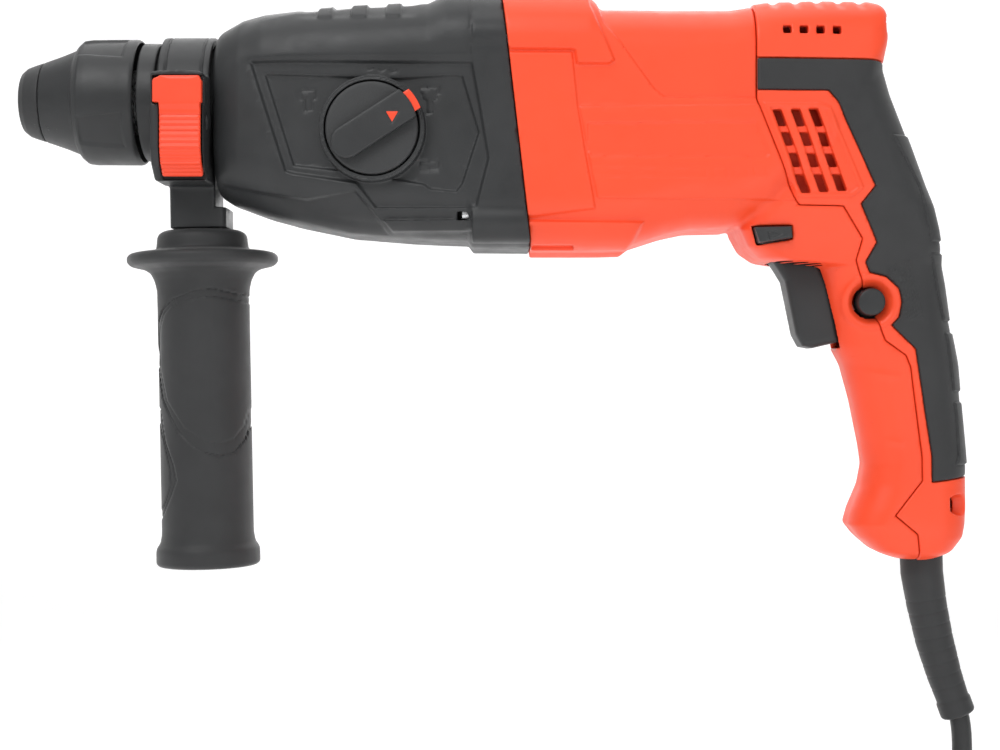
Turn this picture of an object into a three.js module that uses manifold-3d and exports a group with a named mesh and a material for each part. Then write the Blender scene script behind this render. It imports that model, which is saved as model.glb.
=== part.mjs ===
// Rotary hammer with a quick chuck, a pistol grip and a swivelling side handle.
// Units are millimetres, +Z is up and the chuck points along -X.
// Inside the tool group x = 0 is the tip of the chuck and z = 0 is the chuck's axis. The tool group is
// moved so that the model's origin is the middle of the main grip, where a hand holds the tool.

import * as THREE from 'three';
import { mergeVertices } from 'three/addons/utils/BufferGeometryUtils.js';
import Module from 'manifold-3d';

const wasm = await Module();
wasm.setup();

// ---------------------------------------------------------------- driving dimensions

const GAP = 0.3;                    // between pieces that touch on the real tool
const RUN = 0.4;                    // between pieces that move on each other
const GRIP_CENTRE = { x: 347, z: -120 };

const CHUCK = {
  boreRadius: 5, capLength: 9.6, capRadius: 15.9, sleeveFront: 25.2, sleeveRadius: 25.2,
  sleeveRear: 49.2, sleeveWall: 1.6, skirtRadius: 24.1, springRadius: 16.6,
  springFront: 29.4, springRear: 34.4,
};
const NECK = { radius: 21.5, front: 50.2, rear: 80.4, lipRadius: 23.6, lipRear: 57.6, wall: 3 };
const SPINDLE = { radius: 13, rear: 148, tubeBore: 9.6, tubeFront: 103.6, bearingFront: 60, bearingLength: 12 };

const GEAR_MODULE = 1;
const TOOTH = { addendum: 0.9, dedendum: 1.25, thickness: 0.4, tipThickness: 0.2 };
const MANY_TEETH = 30;               // wheels with more teeth than this have straight-sided teeth
const TEETH = { motorPinion: 8, countershaftGear: 41, countershaftPinion: 12, spindleGear: 49 };
const COUNTERSHAFT_Z = -GEAR_MODULE * (TEETH.countershaftPinion + TEETH.spindleGear) / 2;
const MOTOR_Z = COUNTERSHAFT_Z + GEAR_MODULE * (TEETH.motorPinion + TEETH.countershaftGear) / 2;
const SPINDLE_GEAR = { front: 126, width: 8, hubRadius: 17.5 };
const COUNTERSHAFT = { radius: 5, frontRadius: 3.8, front: 99, rear: 188, pinionFront: 120, pinionRear: 140 };
const COUNTERSHAFT_GEAR = { front: 169, width: 8 };
const WOBBLE = { x: 155, hubRadius: 8.5, hubWidth: 8, tilt: 12, ringBore: 11.4, ringRadius: 15.5, ringWidth: 9 };
const PISTON = { radius: 9.3, wall: 1.6, front: 112, rear: 148.4, forkRear: 160, pinRadius: 3.4, pinBore: 2.4,
  fingerRadius: 1.3 };
const STRIKER = { radius: 7.3, front: 121, rear: 135 };
const IMPACT_BOLT = { radius: 6.5, stemRadius: 4.4, front: 60, shoulder: 84, rear: 106 };

const FLANGE = { front: 182, rear: 191.4 };
const BALL_BEARING = {
  motorFront: { x: 184, width: 7, radius: 11, bore: 4 },
  motorRear: { x: 283, width: 7, radius: 9.5, bore: 3.5 },
  shaftRear: { x: 182.4, width: 6, radius: 9, bore: 4 },
};
const MOTOR = {
  shaftRadius: 4, rear: 292, pinionFront: 168, pinionRear: 180, coreFront: 213, coreRear: 255,
  coreRadius: 18, airGap: 0.7, statorRadius: 31, poleHalfAngle: 38, coilHalfAngle: 58, yoke: 4.6,
  commutatorFront: 263, commutatorRear: 277, commutatorRadius: 12,
  statorFront: 212, statorRear: 256, coilOverhang: 6, coilBand: 5,
  fanFront: 195, fanRear: 204.6, fanRadius: 26, blades: 11,
};
const BRUSH = { width: 7, height: 8, springRoom: 4.6, holderWall: 1.2, holderEnd: 1.4 };

const WALL = { gearbox: 3.2, motor: 2.8, handle: 2.8, overmould: 1.8 };
const KNOB = { x: 144, z: -15.4, radius: 17.8, collarRadius: 20.4, face: 43, disc: 38.8, floor: 34, bar: 12.4,
  turn: 32.7 };
const KNOB_BUTTON = { inner: 12, outer: 20.2, half: 4.3, depth: 2, travel: 2 };
const SCREW = { headRadius: 3.4, headHeight: 3, shankRadius: 1.9, length: 22 };
const CASE_SCREW = { x: 178.6, y: 28.6, topZ: 20.4, bottomZ: -47.6 };
const COVER_SCREW = { upperX: 342, upperZ: 27, lowerX: 376, lowerZ: -161 };

// Upright sections of the body [x, lowest z, highest z, half width, corner radius].
const GEARBOX = [
  [80.4, -38.6, 26, 24.5, 20], [85.6, -41.8, 28.6, 27, 21], [91, -43.8, 31.4, 29, 22], [100, -47, 33.4, 31, 22],
  [112, -50.2, 34.4, 33, 22], [134, -54.6, 35.4, 34.6, 21], [158, -56.4, 36, 35.2, 20], [165, -56.7, 36.2, 35.4, 20],
  [172, -57, 39.4, 36, 20], [180.4, -57.2, 39.8, 36.4, 20], [182, -60, 39.8, 36.4, 20], [210, -60.2, 39.8, 36.6, 20],
];
const MOTOR_CASE = [
  [190, -60.2, 39.8, 36.6, 20], [228, -60.2, 39.4, 36.6, 20], [233.2, -60.2, 35, 36.4, 20], [243.2, -60, 35, 36, 20],
  [258.8, -55, 34.8, 35.4, 20], [268.4, -53, 34.8, 35, 20], [284, -52.6, 34.8, 34.6, 19], [298, -48, 37, 34, 18],
  [318, -30, 37.6, 32.6, 16], [338, 0, 37.4, 30, 14], [345.6, 16, 35.6, 27, 9],
];
// Level sections of the handle [z, front x, back x, half width, corner radius], from the top down.
const HANDLE = [
  [26, 300, 341, 27, 12], [12, 298, 344.2, 29.5, 14], [0, 298, 347.4, 31, 15], [-20, 299, 355.2, 31.2, 15.5],
  [-36, 300, 361.2, 30.5, 15.5], [-44, 292, 363.8, 29, 11], [-53, 287.4, 366, 27, 9], [-60, 291, 367.6, 25, 9],
  [-65, 297, 368.8, 23, 13], [-66.8, 320, 369.2, 22, 14], [-74, 322, 371.2, 20.5, 15], [-90, 325.4, 373.8, 19.4, 15.5],
  [-99, 327, 375.8, 18.8, 15.5], [-106, 330.6, 377.2, 18.4, 15.5], [-120, 334.4, 378.4, 17.8, 15],
  [-138, 338, 380.2, 17.4, 15], [-146, 339.2, 380.8, 17.6, 15], [-154, 337.8, 380.6, 18, 15],
  [-164, 333.8, 380.4, 19, 15], [-170, 332.4, 379.8, 19.2, 14], [-175, 336.4, 378.8, 18.6, 13],
  [-181, 343.4, 374.2, 17, 11], [-184.4, 350.4, 368, 14, 8],
];
// The joint between gearbox and motor case leans; these are its x at the height z.
const CASE_JOINT = { topX: 193.6, topZ: 39.8, bottomX: 205.2, bottomZ: -60.2 };
// Side view of the seam between motor case and rear cover, from the top down.
const SEAM = [
  [292.3, 60], [292.3, -3.8], [307.3, -40.9], [309.6, -44], [326.8, -44.4], [334.9, -56.8], [333, -64.9],
  [336.7, -76], [339.4, -81.4], [341.5, -87.2], [345.4, -96.6], [353.6, -102.4], [355.5, -107.1], [360.2, -142.5],
  [360.2, -152.2], [349.3, -165.8], [358.2, -173.2], [359.4, -181], [359.4, -200],
];
// Side view of the soft overmould's front edge, from the top down; the lock button's ring interrupts it.
const OVERMOULD_EDGE = [
  [292.3, 12.3], [292.3, 0], [320.3, 0], [324.1, -4.2], [339, -36.7], [333.7, -43.6], [340.6, -58.2],
  [336.8, -65.7], [338.7, -69.9], [347, -72.6], [351.1, -81.4], [347.7, -90.5], [357.4, -99.9], [364.1, -142.5],
  [364.1, -152.6], [382, -150.4],
];
const LABEL = { thickness: 0.9, x: 262, z: -19.4, shrinkX: 0.985, shrinkZ: 0.95 };
const TRIGGER = { halfWidth: 8.5, travel: 7, stemFront: 322, stemRear: 342, stemLow: -92, stemHigh: -84 };
const SWITCH = { front: 338.4, rear: 361, halfWidth: 7, low: -112, high: -76 };
const DIRECTION = { left: 29.2, right: 24.2 };
const LOCK_BUTTON = { x: 339.4, z: -81.4, radius: 5.4, outer: 21.8, length: 10.4 };

// The side handle: a clamp round the neck, and a flanged grip on a line that leans back a little.
// Heights with the word under count from the pivot of the lean, downwards.
const SIDE = {
  x: 70.6, ringWidth: 17.6, strapInner: NECK.radius + GAP, strapWall: 1, ringWall: 2.7,
  pivotX: 72.2, pivotZ: -NECK.radius - 8.5, lean: 1.1, stemHalf: 11.2, stemUnder: 21.5,
  boltRadius: 4, boltLift: 2.5,
  shoulderRadius: 18.4, flangeUnder: 29.6, flangeRadius: 30, gripUnder: 37, gripRadius: 18.4,
  bottomUnder: 157.4, flareRadius: 20.8, nutUnder: 38, nutHeight: 8, nutRadius: 6.8,
};
const ROD_HOLE = { radius: 3.4, y: -29.8, z: -12 };
// The clamp's block beside the neck, and the release button in it, as [y, z] outlines.
const BLOCK = { front: 58.7, rear: 79.5,
  outline: [[-16, 7.3], [-38.4, 7.3], [-38.4, -24], [-36, -30], [-29, -35.2], [-10, -35.2], [-10, -24], [-16, -18]] };
const RELEASE = {
  topFront: 60.2, topRear: 79, split: -5.7, front: 62.6, rear: 78.4, travel: 1.8,
  outline: [[-36.2, 4.4], [-40, 4.4], [-40, -6.5], [-38.9, -8.5], [-38.9, -23], [-36.8, -29], [-31.6, -33.8],
    [-30.4, -31.4], [-35, -26.6], [-36.2, -22]],
};
const GUARD = {
  path: [[363.6, -177.5], [364, -190], [366, -203], [369, -217], [373, -231], [377.2, -243], [378.9, -247.6]],
  radii: [8.6, 8.4, 7.9, 7.5, 6.9, 6.3, 6.2],
};
const CORD = { radius: 4, x: 380.4 };
// The cord's free stretch from the guard to its coil, [x, z], all at y = 0.
const CORD_ROUTE = [
  [379.08, -248.12], [379.5, -249.8], [379.9, -252.4], [380.2, -255.6], [380.35, -259.2], [380.4, -263],
  [380.4, -267], [380.4, -271], [380.4, -275], [380.4, -279], [380.4, -283], [380.4, -287], [380.4, -291],
  [380.4, -295], [380.4, -299.2],
];
const COIL = { middle: 48, half: 12.5, layer: 8.1, tieWidth: 7, gap: 0.8767 };
// The coil hangs just under the lead's end, whatever its size.
COIL.z = CORD_ROUTE.at(-1)[1] - COIL.gap
  - Math.sqrt((COIL.middle + COIL.half) ** 2 - (COIL.middle + CORD.radius) ** 2);
const PLUG = { neckRadius: 6, bodyRadius: 18, neckUnder: 34.8, bodyUnder: 52, endUnder: 90, pinLength: 19,
  pinRadius: 2.4, pinApart: 19 };

// ---------------------------------------------------------------- shape helpers

const rad = THREE.MathUtils.degToRad;
const BIG = 200;

function solid(geometry) {
  geometry.deleteAttribute('normal');
  geometry.deleteAttribute('uv');
  const merged = mergeVertices(geometry);
  return new wasm.Manifold(new wasm.Mesh({
    numProp: 3,
    vertProperties: new Float32Array(merged.attributes.position.array),
    triVerts: new Uint32Array(merged.index.array),
  }));
}

function geometryOf(shape) {
  const mesh = shape.getMesh();
  const geometry = new THREE.BufferGeometry();
  geometry.setAttribute('position', new THREE.Float32BufferAttribute(mesh.vertProperties, 3));
  geometry.setIndex(Array.from(mesh.triVerts));
  return geometry;
}

const join = (first, ...others) => others.reduce((sum, shape) => sum.add(shape), first);
const cut = (first, ...others) => others.reduce((rest, shape) => rest.subtract(shape), first);

// A solid of revolution about a line along X; the profile is a closed loop of [x, radius].
function turned(profile, { y = 0, z = 0, segments = 24 } = {}) {
  const loop = [...profile, profile[0]].map(([x, radius]) => new THREE.Vector2(radius, x));
  const points = THREE.ShapeUtils.isClockWise(loop) ? loop.reverse() : loop;
  const geometry = new THREE.LatheGeometry(points, segments);
  geometry.rotateZ(-Math.PI / 2);
  geometry.translate(0, y, z);
  return solid(geometry);
}

function rodX(radius, x0, x1, y = 0, z = 0, segments = 24) {
  const geometry = new THREE.CylinderGeometry(radius, radius, x1 - x0, segments);
  geometry.rotateZ(Math.PI / 2);
  geometry.translate((x0 + x1) / 2, y, z);
  return solid(geometry);
}

// A solid of revolution about Z from a closed loop of [z, radius].
function turnedZ(profile, segments = 24) {
  return turned(profile, { segments }).rotate([0, -90, 0]);
}

const tubeX = (outer, inner, x0, x1, y = 0, z = 0, segments = 24) =>
  rodX(outer, x0, x1, y, z, segments).subtract(rodX(inner, x0 - 1, x1 + 1, y, z, segments));

function rodY(radius, y0, y1, x, z, segments = 24) {
  const geometry = new THREE.CylinderGeometry(radius, radius, y1 - y0, segments);
  geometry.translate(x, (y0 + y1) / 2, 0);
  geometry.translate(0, 0, z);
  return solid(geometry);
}

function rodZ(radius, z0, z1, x, y, segments = 24, topRadius = radius) {
  const geometry = new THREE.CylinderGeometry(topRadius, radius, z1 - z0, segments);
  geometry.rotateX(Math.PI / 2);
  geometry.translate(x, y, (z0 + z1) / 2);
  return solid(geometry);
}

function box(x0, x1, y0, y1, z0, z1) {
  const geometry = new THREE.BoxGeometry(x1 - x0, y1 - y0, z1 - z0);
  geometry.translate((x0 + x1) / 2, (y0 + y1) / 2, (z0 + z1) / 2);
  return solid(geometry);
}

// A side-view outline of [x, z] points, or a THREE.Shape, made thick from y0 to y1.
function plate(outline, y0, y1) {
  const shape = outline instanceof THREE.Shape ? outline : outlineOf(outline);
  const geometry = new THREE.ExtrudeGeometry(shape, { depth: y1 - y0, bevelEnabled: false, curveSegments: 6 });
  geometry.rotateX(Math.PI / 2);
  geometry.translate(0, y1, 0);
  return solid(geometry);
}

// A [y, z] outline made thick from x0 to x1.
function slabX(shape, x0, x1) {
  const geometry = new THREE.ExtrudeGeometry(shape, { depth: x1 - x0, bevelEnabled: false, curveSegments: 14 });
  geometry.rotateZ(Math.PI / 2);
  geometry.rotateY(Math.PI / 2);
  geometry.translate(x0, 0, 0);
  return solid(geometry);
}

function roundedLoop(uLow, uHigh, vLow, vHigh, radius, steps = 3) {
  const r = Math.min(radius, (uHigh - uLow) / 2 - 0.02, (vHigh - vLow) / 2 - 0.02);
  const corners = [[uHigh - r, vHigh - r, 0], [uLow + r, vHigh - r, 90], [uLow + r, vLow + r, 180],
    [uHigh - r, vLow + r, 270]];
  return corners.flatMap(([u, v, start]) => Array.from({ length: steps + 1 }, (_, i) => {
    const angle = rad(start + 90 * i / steps);
    return [u + r * Math.cos(angle), v + r * Math.sin(angle)];
  }));
}

const outlineOf = (points) => new THREE.Shape(points.map(([u, v]) => new THREE.Vector2(u, v)));

// A skin through rings of equally many points, each ring counter-clockwise about the way the rings go.
function loft(rings) {
  const size = rings[0].length;
  const last = rings.length - 1;
  const positions = rings.flat(2);
  const index = [];
  for (let i = 0; i < last; i += 1) {
    for (let j = 0; j < size; j += 1) {
      const a = i * size + j;
      const b = i * size + (j + 1) % size;
      index.push(a, b, b + size, a, b + size, a + size);
    }
  }
  for (let j = 1; j < size - 1; j += 1) {
    index.push(0, j + 1, j);
    index.push(last * size, last * size + j, last * size + j + 1);
  }
  const geometry = new THREE.BufferGeometry();
  geometry.setAttribute('position', new THREE.Float32BufferAttribute(positions, 3));
  geometry.setIndex(index);
  return solid(geometry);
}

// Body of upright sections [x, low z, high z, half width, corner radius], shrunk by inset.
function loftX(sections, inset = 0) {
  return loft(sections.map(([x, low, high, half, radius]) =>
    roundedLoop(-half + inset, half - inset, low + inset, high - inset, Math.max(radius - inset, 0.5))
      .map(([y, z]) => [x, y, z])));
}

// Body of level sections [z, front x, back x, half width, corner radius], from the top down.
function loftZ(sections, inset = 0) {
  return loft([...sections].reverse().map(([z, front, back, half, radius]) =>
    roundedLoop(front + inset, back - inset, -half + inset, half - inset, Math.max(radius - inset, 0.5))
      .map(([x, y]) => [x, y, z])));
}

// A spur gear about X at height z, turned so that a tooth or a gap points the right way.
function gearShape(teeth, turn, boreRadius) {
  const pitch = GEAR_MODULE * teeth / 2;
  const step = 2 * Math.PI / teeth;
  const halfPitchLine = TOOTH.thickness * step / 2;
  const halfTip = TOOTH.tipThickness * step / 2;
  const halfRoot = halfPitchLine * 1.25;
  const at = (radius, angle) => new THREE.Vector2(radius * Math.cos(angle), radius * Math.sin(angle));
  const points = [];
  for (let i = 0; i < teeth; i += 1) {
    const middle = rad(turn) + i * step;
    points.push(at(pitch - TOOTH.dedendum * GEAR_MODULE, middle - halfRoot));
    if (teeth < MANY_TEETH) points.push(at(pitch, middle - halfPitchLine));
    points.push(at(pitch + TOOTH.addendum * GEAR_MODULE, middle - halfTip));
    points.push(at(pitch + TOOTH.addendum * GEAR_MODULE, middle + halfTip));
    if (teeth < MANY_TEETH) points.push(at(pitch, middle + halfPitchLine));
    points.push(at(pitch - TOOTH.dedendum * GEAR_MODULE, middle + halfRoot));
  }
  const shape = new THREE.Shape(points);
  if (boreRadius) {
    shape.holes.push(new THREE.Path().absarc(0, 0, boreRadius, 0, 2 * Math.PI, true));
  }
  return shape;
}

function gear(teeth, turn, boreRadius, x0, x1, z) {
  return slabX(gearShape(teeth, turn, boreRadius), x0, x1).translate([0, 0, z]);
}

function finish(color, roughness, metalness = 0) {
  return new THREE.MeshStandardMaterial({ color, roughness, metalness });
}

const FINISH = {
  red: finish(0xf5502f, 0.45), black: finish(0x2f3133, 0.55), rubber: finish(0x26282a, 0.8),
  steel: finish(0xb9bcc0, 0.3, 1), darkSteel: finish(0x5b5f64, 0.45, 1), copper: finish(0xb8703a, 0.35, 1),
  laminated: finish(0x7d8085, 0.5, 1), plastic: finish(0x45484b, 0.6), graphite: finish(0x1e1f20, 0.7),
  brass: finish(0xc9a452, 0.35, 1), label: finish(0xee4a2c, 0.4),
};

function piece(group, name, shape, material) {
  const geometry = shape.isBufferGeometry ? shape : geometryOf(shape);
  const mesh = new THREE.Mesh(geometry, material);
  mesh.name = name;
  group.add(mesh);
  return mesh;
}

const tool = new THREE.Group();
tool.position.set(-GRIP_CENTRE.x, 0, -GRIP_CENTRE.z);
function assembly() {
  const group = new THREE.Group();
  tool.add(group);
  return group;
}

// ---------------------------------------------------------------- chuck

const chuck = assembly();

// The soft dust cap over the mouth of the chuck.
const capShape = turned([
  [0, CHUCK.boreRadius + 0.6], [0, 8.4], [1.2, 12], [3.4, 13.8], [6.4, 14.9], [CHUCK.capLength, CHUCK.capRadius],
  [CHUCK.capLength, SPINDLE.radius + GAP], [4, SPINDLE.radius + GAP], [4, CHUCK.boreRadius + 0.6],
]);
piece(chuck, 'nose_cap', capShape, FINISH.rubber);

// The locking sleeve: a cone, then a hand grip with a hollow skirt that slides back over the neck's lip.
const sleeveInner = SPINDLE.radius + RUN;
const sleeveShape = turned([
  [CHUCK.capLength + GAP, CHUCK.capRadius + 0.2], [18, 18.9], [CHUCK.sleeveFront - 1.6, 21.2],
  [CHUCK.sleeveFront, 23.4], [CHUCK.sleeveFront + 2, CHUCK.sleeveRadius - 0.3],
  [CHUCK.sleeveRear - 4, CHUCK.sleeveRadius], [CHUCK.sleeveRear, CHUCK.sleeveRadius],
  [CHUCK.sleeveRear, CHUCK.skirtRadius], [31, CHUCK.skirtRadius - 0.8], [26, 18.4], [22, 18.4],
  [22, sleeveInner], [CHUCK.capLength + GAP, sleeveInner],
], { segments: 32 });
piece(chuck, 'chuck_sleeve', sleeveShape, FINISH.black);

// The spring that pushes the sleeve forward again, as its closed envelope.
piece(chuck, 'chuck_spring', tubeX(CHUCK.springRadius, SPINDLE.radius + GAP, CHUCK.springFront, CHUCK.springRear),
  FINISH.steel);

// ---------------------------------------------------------------- spindle and hammer

const hammer = assembly();
const tubeWall = SPINDLE.tubeBore + RUN;
const spindleShape = turned([
  [4.3, CHUCK.boreRadius], [4.3, SPINDLE.radius], [SPINDLE.rear, SPINDLE.radius], [SPINDLE.rear, tubeWall],
  [SPINDLE.tubeFront, tubeWall],
  [SPINDLE.tubeFront, IMPACT_BOLT.radius + 0.5], [58, IMPACT_BOLT.radius + 0.5], [58, CHUCK.boreRadius],
]);
const rollerSlot = (side) => box(14.7, 21.3, -1.9, 1.9, side * 9 - 5, side * 9 + 5);
piece(hammer, 'spindle', cut(spindleShape, rollerSlot(1), rollerSlot(-1)), FINISH.steel);
for (const [name, side] of [['locking_roller_top', 1], ['locking_roller_bottom', -1]]) {
  piece(hammer, name, rodX(1.6, 15, 21, 0, side * (SPINDLE.radius - 2.2), 12), FINISH.steel);
}
const spindleGear = join(
  gear(TEETH.spindleGear, 90, SPINDLE.radius + GAP, SPINDLE_GEAR.front,
    SPINDLE_GEAR.front + SPINDLE_GEAR.width, 0),
  tubeX(SPINDLE_GEAR.hubRadius, SPINDLE.radius + GAP, SPINDLE_GEAR.front + SPINDLE_GEAR.width - 1,
    SPINDLE_GEAR.front + SPINDLE_GEAR.width + 5),
);
piece(hammer, 'spindle_gear', spindleGear, FINISH.darkSteel);

piece(hammer, 'impact_bolt', turned([
  [IMPACT_BOLT.front, 0], [IMPACT_BOLT.front, IMPACT_BOLT.stemRadius], [IMPACT_BOLT.shoulder, IMPACT_BOLT.stemRadius],
  [IMPACT_BOLT.shoulder + 2, IMPACT_BOLT.radius], [IMPACT_BOLT.rear - 6, IMPACT_BOLT.radius],
  [IMPACT_BOLT.rear - 4, IMPACT_BOLT.stemRadius], [IMPACT_BOLT.rear, IMPACT_BOLT.stemRadius], [IMPACT_BOLT.rear, 0],
], { segments: 20 }), FINISH.steel);
piece(hammer, 'striker', turned([
  [STRIKER.front, 0], [STRIKER.front, STRIKER.radius - 2], [STRIKER.front + 3, STRIKER.radius - 0.6],
  [STRIKER.rear - 5, STRIKER.radius - 0.6], [STRIKER.rear - 5, STRIKER.radius - 1.7],
  [STRIKER.rear - 3, STRIKER.radius - 1.7], [STRIKER.rear - 3, STRIKER.radius - 0.6],
  [STRIKER.rear, STRIKER.radius - 0.6], [STRIKER.rear, 0],
], { segments: 20 }), FINISH.steel);
piece(hammer, 'striker_oring', tubeX(STRIKER.radius, STRIKER.radius - 1.4, STRIKER.rear - 4.7, STRIKER.rear - 3.3),
  FINISH.rubber);

// The hollow piston, with a fork at its back for the wobble plate's finger.
const pistonCup = turned([
  [PISTON.front, PISTON.radius - PISTON.wall], [PISTON.front, PISTON.radius], [PISTON.rear, PISTON.radius],
  [PISTON.rear, 0], [PISTON.rear - 3, 0], [PISTON.rear - 3, PISTON.radius - PISTON.wall],
], { segments: 24 });
const fork = cut(
  rodX(PISTON.radius - 0.4, PISTON.rear - 1, PISTON.forkRear, 0, 0, 24),
  box(PISTON.rear + 1, PISTON.forkRear + 1, -4.6, 4.6, -BIG, BIG),
  rodY(PISTON.pinRadius + GAP, -BIG, BIG, WOBBLE.x, 0, 16),
);
piece(hammer, 'piston', join(pistonCup, fork), FINISH.darkSteel);
piece(hammer, 'piston_pin', cut(
  rodY(PISTON.pinRadius, -8.4, 8.4, WOBBLE.x, 0, 16),
  rodZ(PISTON.pinBore, -BIG, BIG, WOBBLE.x, 0, 16),
), FINISH.steel);

// ---------------------------------------------------------------- countershaft and wobble drive

const countershaft = assembly();
const wobbleHub = turned([
  [-WOBBLE.hubWidth / 2, 0], [-WOBBLE.hubWidth / 2, WOBBLE.hubRadius], [WOBBLE.hubWidth / 2, WOBBLE.hubRadius],
  [WOBBLE.hubWidth / 2, 0],
], { segments: 20 }).rotate([0, WOBBLE.tilt, 0]).translate([WOBBLE.x, 0, COUNTERSHAFT_Z]);
const countershaftPinion = gear(TEETH.countershaftPinion, 90, 0, COUNTERSHAFT.pinionFront,
  COUNTERSHAFT.pinionRear, COUNTERSHAFT_Z);
const shaftBody = turned([
  [COUNTERSHAFT.front, 0], [COUNTERSHAFT.front, COUNTERSHAFT.frontRadius],
  [COUNTERSHAFT.front + 8, COUNTERSHAFT.frontRadius],
  [COUNTERSHAFT.front + 8, COUNTERSHAFT.radius - 0.4], [179, COUNTERSHAFT.radius - 0.4], [179, 3.7],
  [COUNTERSHAFT.rear, 3.7], [COUNTERSHAFT.rear, 0],
], { z: COUNTERSHAFT_Z, segments: 20 });
piece(countershaft, 'countershaft', join(shaftBody, countershaftPinion, wobbleHub), FINISH.steel);

const countershaftGearTurn = 90 + 180 / TEETH.countershaftGear;
piece(countershaft, 'countershaft_gear', gear(TEETH.countershaftGear, countershaftGearTurn,
  COUNTERSHAFT.radius - 0.4 + GAP, COUNTERSHAFT_GEAR.front, COUNTERSHAFT_GEAR.front + COUNTERSHAFT_GEAR.width,
  COUNTERSHAFT_Z), FINISH.darkSteel);

const finger = rodZ(PISTON.fingerRadius, COUNTERSHAFT_Z + WOBBLE.ringRadius - 1, -1, WOBBLE.x, 0, 12);
piece(countershaft, 'wobble_plate', join(
  tubeX(WOBBLE.ringRadius, WOBBLE.ringBore, WOBBLE.x - WOBBLE.ringWidth / 2, WOBBLE.x + WOBBLE.ringWidth / 2, 0,
    COUNTERSHAFT_Z),
  finger,
), FINISH.darkSteel);

// ---------------------------------------------------------------- motor

const motor = assembly();

// A curved block about the motor's axis, between two radii and a half angle either side of middle.
function sector(inner, outer, middle, halfAngle, x0, x1) {
  const shape = new THREE.Shape();
  shape.absarc(0, 0, outer, rad(middle - halfAngle), rad(middle + halfAngle), false);
  shape.absarc(0, 0, inner, rad(middle + halfAngle), rad(middle - halfAngle), true);
  const geometry = new THREE.ExtrudeGeometry(shape, { depth: x1 - x0, bevelEnabled: false, curveSegments: 5 });
  geometry.rotateZ(Math.PI / 2);
  geometry.rotateY(Math.PI / 2);
  geometry.translate(x0, 0, MOTOR_Z);
  return solid(geometry);
}

const front = BALL_BEARING.motorFront;
const rear = BALL_BEARING.motorRear;
const shaftProfile = [
  [MOTOR.pinionRear - 1, 0], [MOTOR.pinionRear - 1, 2.6], [front.x - GAP, 2.6], [front.x - GAP, front.bore - GAP],
  [MOTOR.fanFront - 2, front.bore - GAP], [MOTOR.fanFront - 2, MOTOR.shaftRadius], [rear.x - GAP, MOTOR.shaftRadius],
  [rear.x - GAP, rear.bore - GAP], [MOTOR.rear, rear.bore - GAP], [MOTOR.rear, 0],
];
piece(motor, 'armature_shaft', join(
  turned(shaftProfile, { z: MOTOR_Z, segments: 16 }),
  gear(TEETH.motorPinion, 270, 0, MOTOR.pinionFront, MOTOR.pinionRear, MOTOR_Z),
), FINISH.steel);
const onShaft = MOTOR.shaftRadius + GAP;
piece(motor, 'armature_core', tubeX(MOTOR.coreRadius, onShaft, MOTOR.coreFront, MOTOR.coreRear, 0, MOTOR_Z),
  FINISH.laminated);
piece(motor, 'commutator', tubeX(MOTOR.commutatorRadius, onShaft, MOTOR.commutatorFront, MOTOR.commutatorRear, 0,
  MOTOR_Z), FINISH.copper);

const fanBlades = Array.from({ length: MOTOR.blades }, (_, i) =>
  box(MOTOR.fanFront + 1, MOTOR.fanRear, -0.6, 0.6, 9, MOTOR.fanRadius - 0.6)
    .rotate([360 * i / MOTOR.blades, 0, 0]).translate([0, 0, MOTOR_Z]));
piece(motor, 'cooling_fan', join(
  tubeX(MOTOR.fanRadius, onShaft, MOTOR.fanFront, MOTOR.fanFront + 1.8, 0, MOTOR_Z),
  tubeX(7.4, onShaft, MOTOR.fanFront + 1, MOTOR.fanRear, 0, MOTOR_Z, 16),
  ...fanBlades,
), FINISH.plastic);

const poleInner = MOTOR.coreRadius + MOTOR.airGap;
const yokeInner = MOTOR.statorRadius - MOTOR.yoke;
const poles = [90, 270].map((middle) =>
  sector(poleInner, yokeInner + 0.4, middle, MOTOR.poleHalfAngle, MOTOR.statorFront, MOTOR.statorRear));
piece(motor, 'stator_core', join(
  tubeX(MOTOR.statorRadius, yokeInner, MOTOR.statorFront, MOTOR.statorRear, 0, MOTOR_Z),
  ...poles,
), FINISH.laminated);
for (const [name, middle] of [['field_coil_top', 90], ['field_coil_bottom', 270]]) {
  const coil = cut(
    sector(poleInner + 0.8, yokeInner - GAP, middle, MOTOR.coilHalfAngle, MOTOR.statorFront - MOTOR.coilOverhang,
      MOTOR.statorRear + MOTOR.coilOverhang),
    sector(poleInner - 1, yokeInner + 1, middle, MOTOR.poleHalfAngle + 2,
      MOTOR.statorFront - MOTOR.coilOverhang + MOTOR.coilBand, MOTOR.statorRear + MOTOR.coilOverhang - MOTOR.coilBand),
  );
  piece(motor, name, coil, FINISH.copper);
}

const brushX = (MOTOR.commutatorFront + MOTOR.commutatorRear) / 2;
for (const [side, word] of [[-1, 'left'], [1, 'right']]) {
  const slotHalf = [BRUSH.width / 2 + GAP, BRUSH.height / 2 + GAP];
  const inner = MOTOR.commutatorRadius + 2;
  const outer = MOTOR.statorRadius;
  const along = (from, to, halfX, halfZ) => box(brushX - halfX, brushX + halfX,
    Math.min(side * from, side * to), Math.max(side * from, side * to), MOTOR_Z - halfZ, MOTOR_Z + halfZ);
  const holder = cut(
    along(inner, outer, slotHalf[0] + BRUSH.holderWall, slotHalf[1] + BRUSH.holderWall),
    along(inner - 1, outer - BRUSH.holderEnd, slotHalf[0], slotHalf[1]),
  );
  piece(motor, `brush_holder_${word}`, holder, FINISH.brass);
  piece(motor, `carbon_brush_${word}`, along(MOTOR.commutatorRadius + GAP, outer - BRUSH.holderEnd - BRUSH.springRoom,
    BRUSH.width / 2, BRUSH.height / 2), FINISH.graphite);
}

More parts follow.
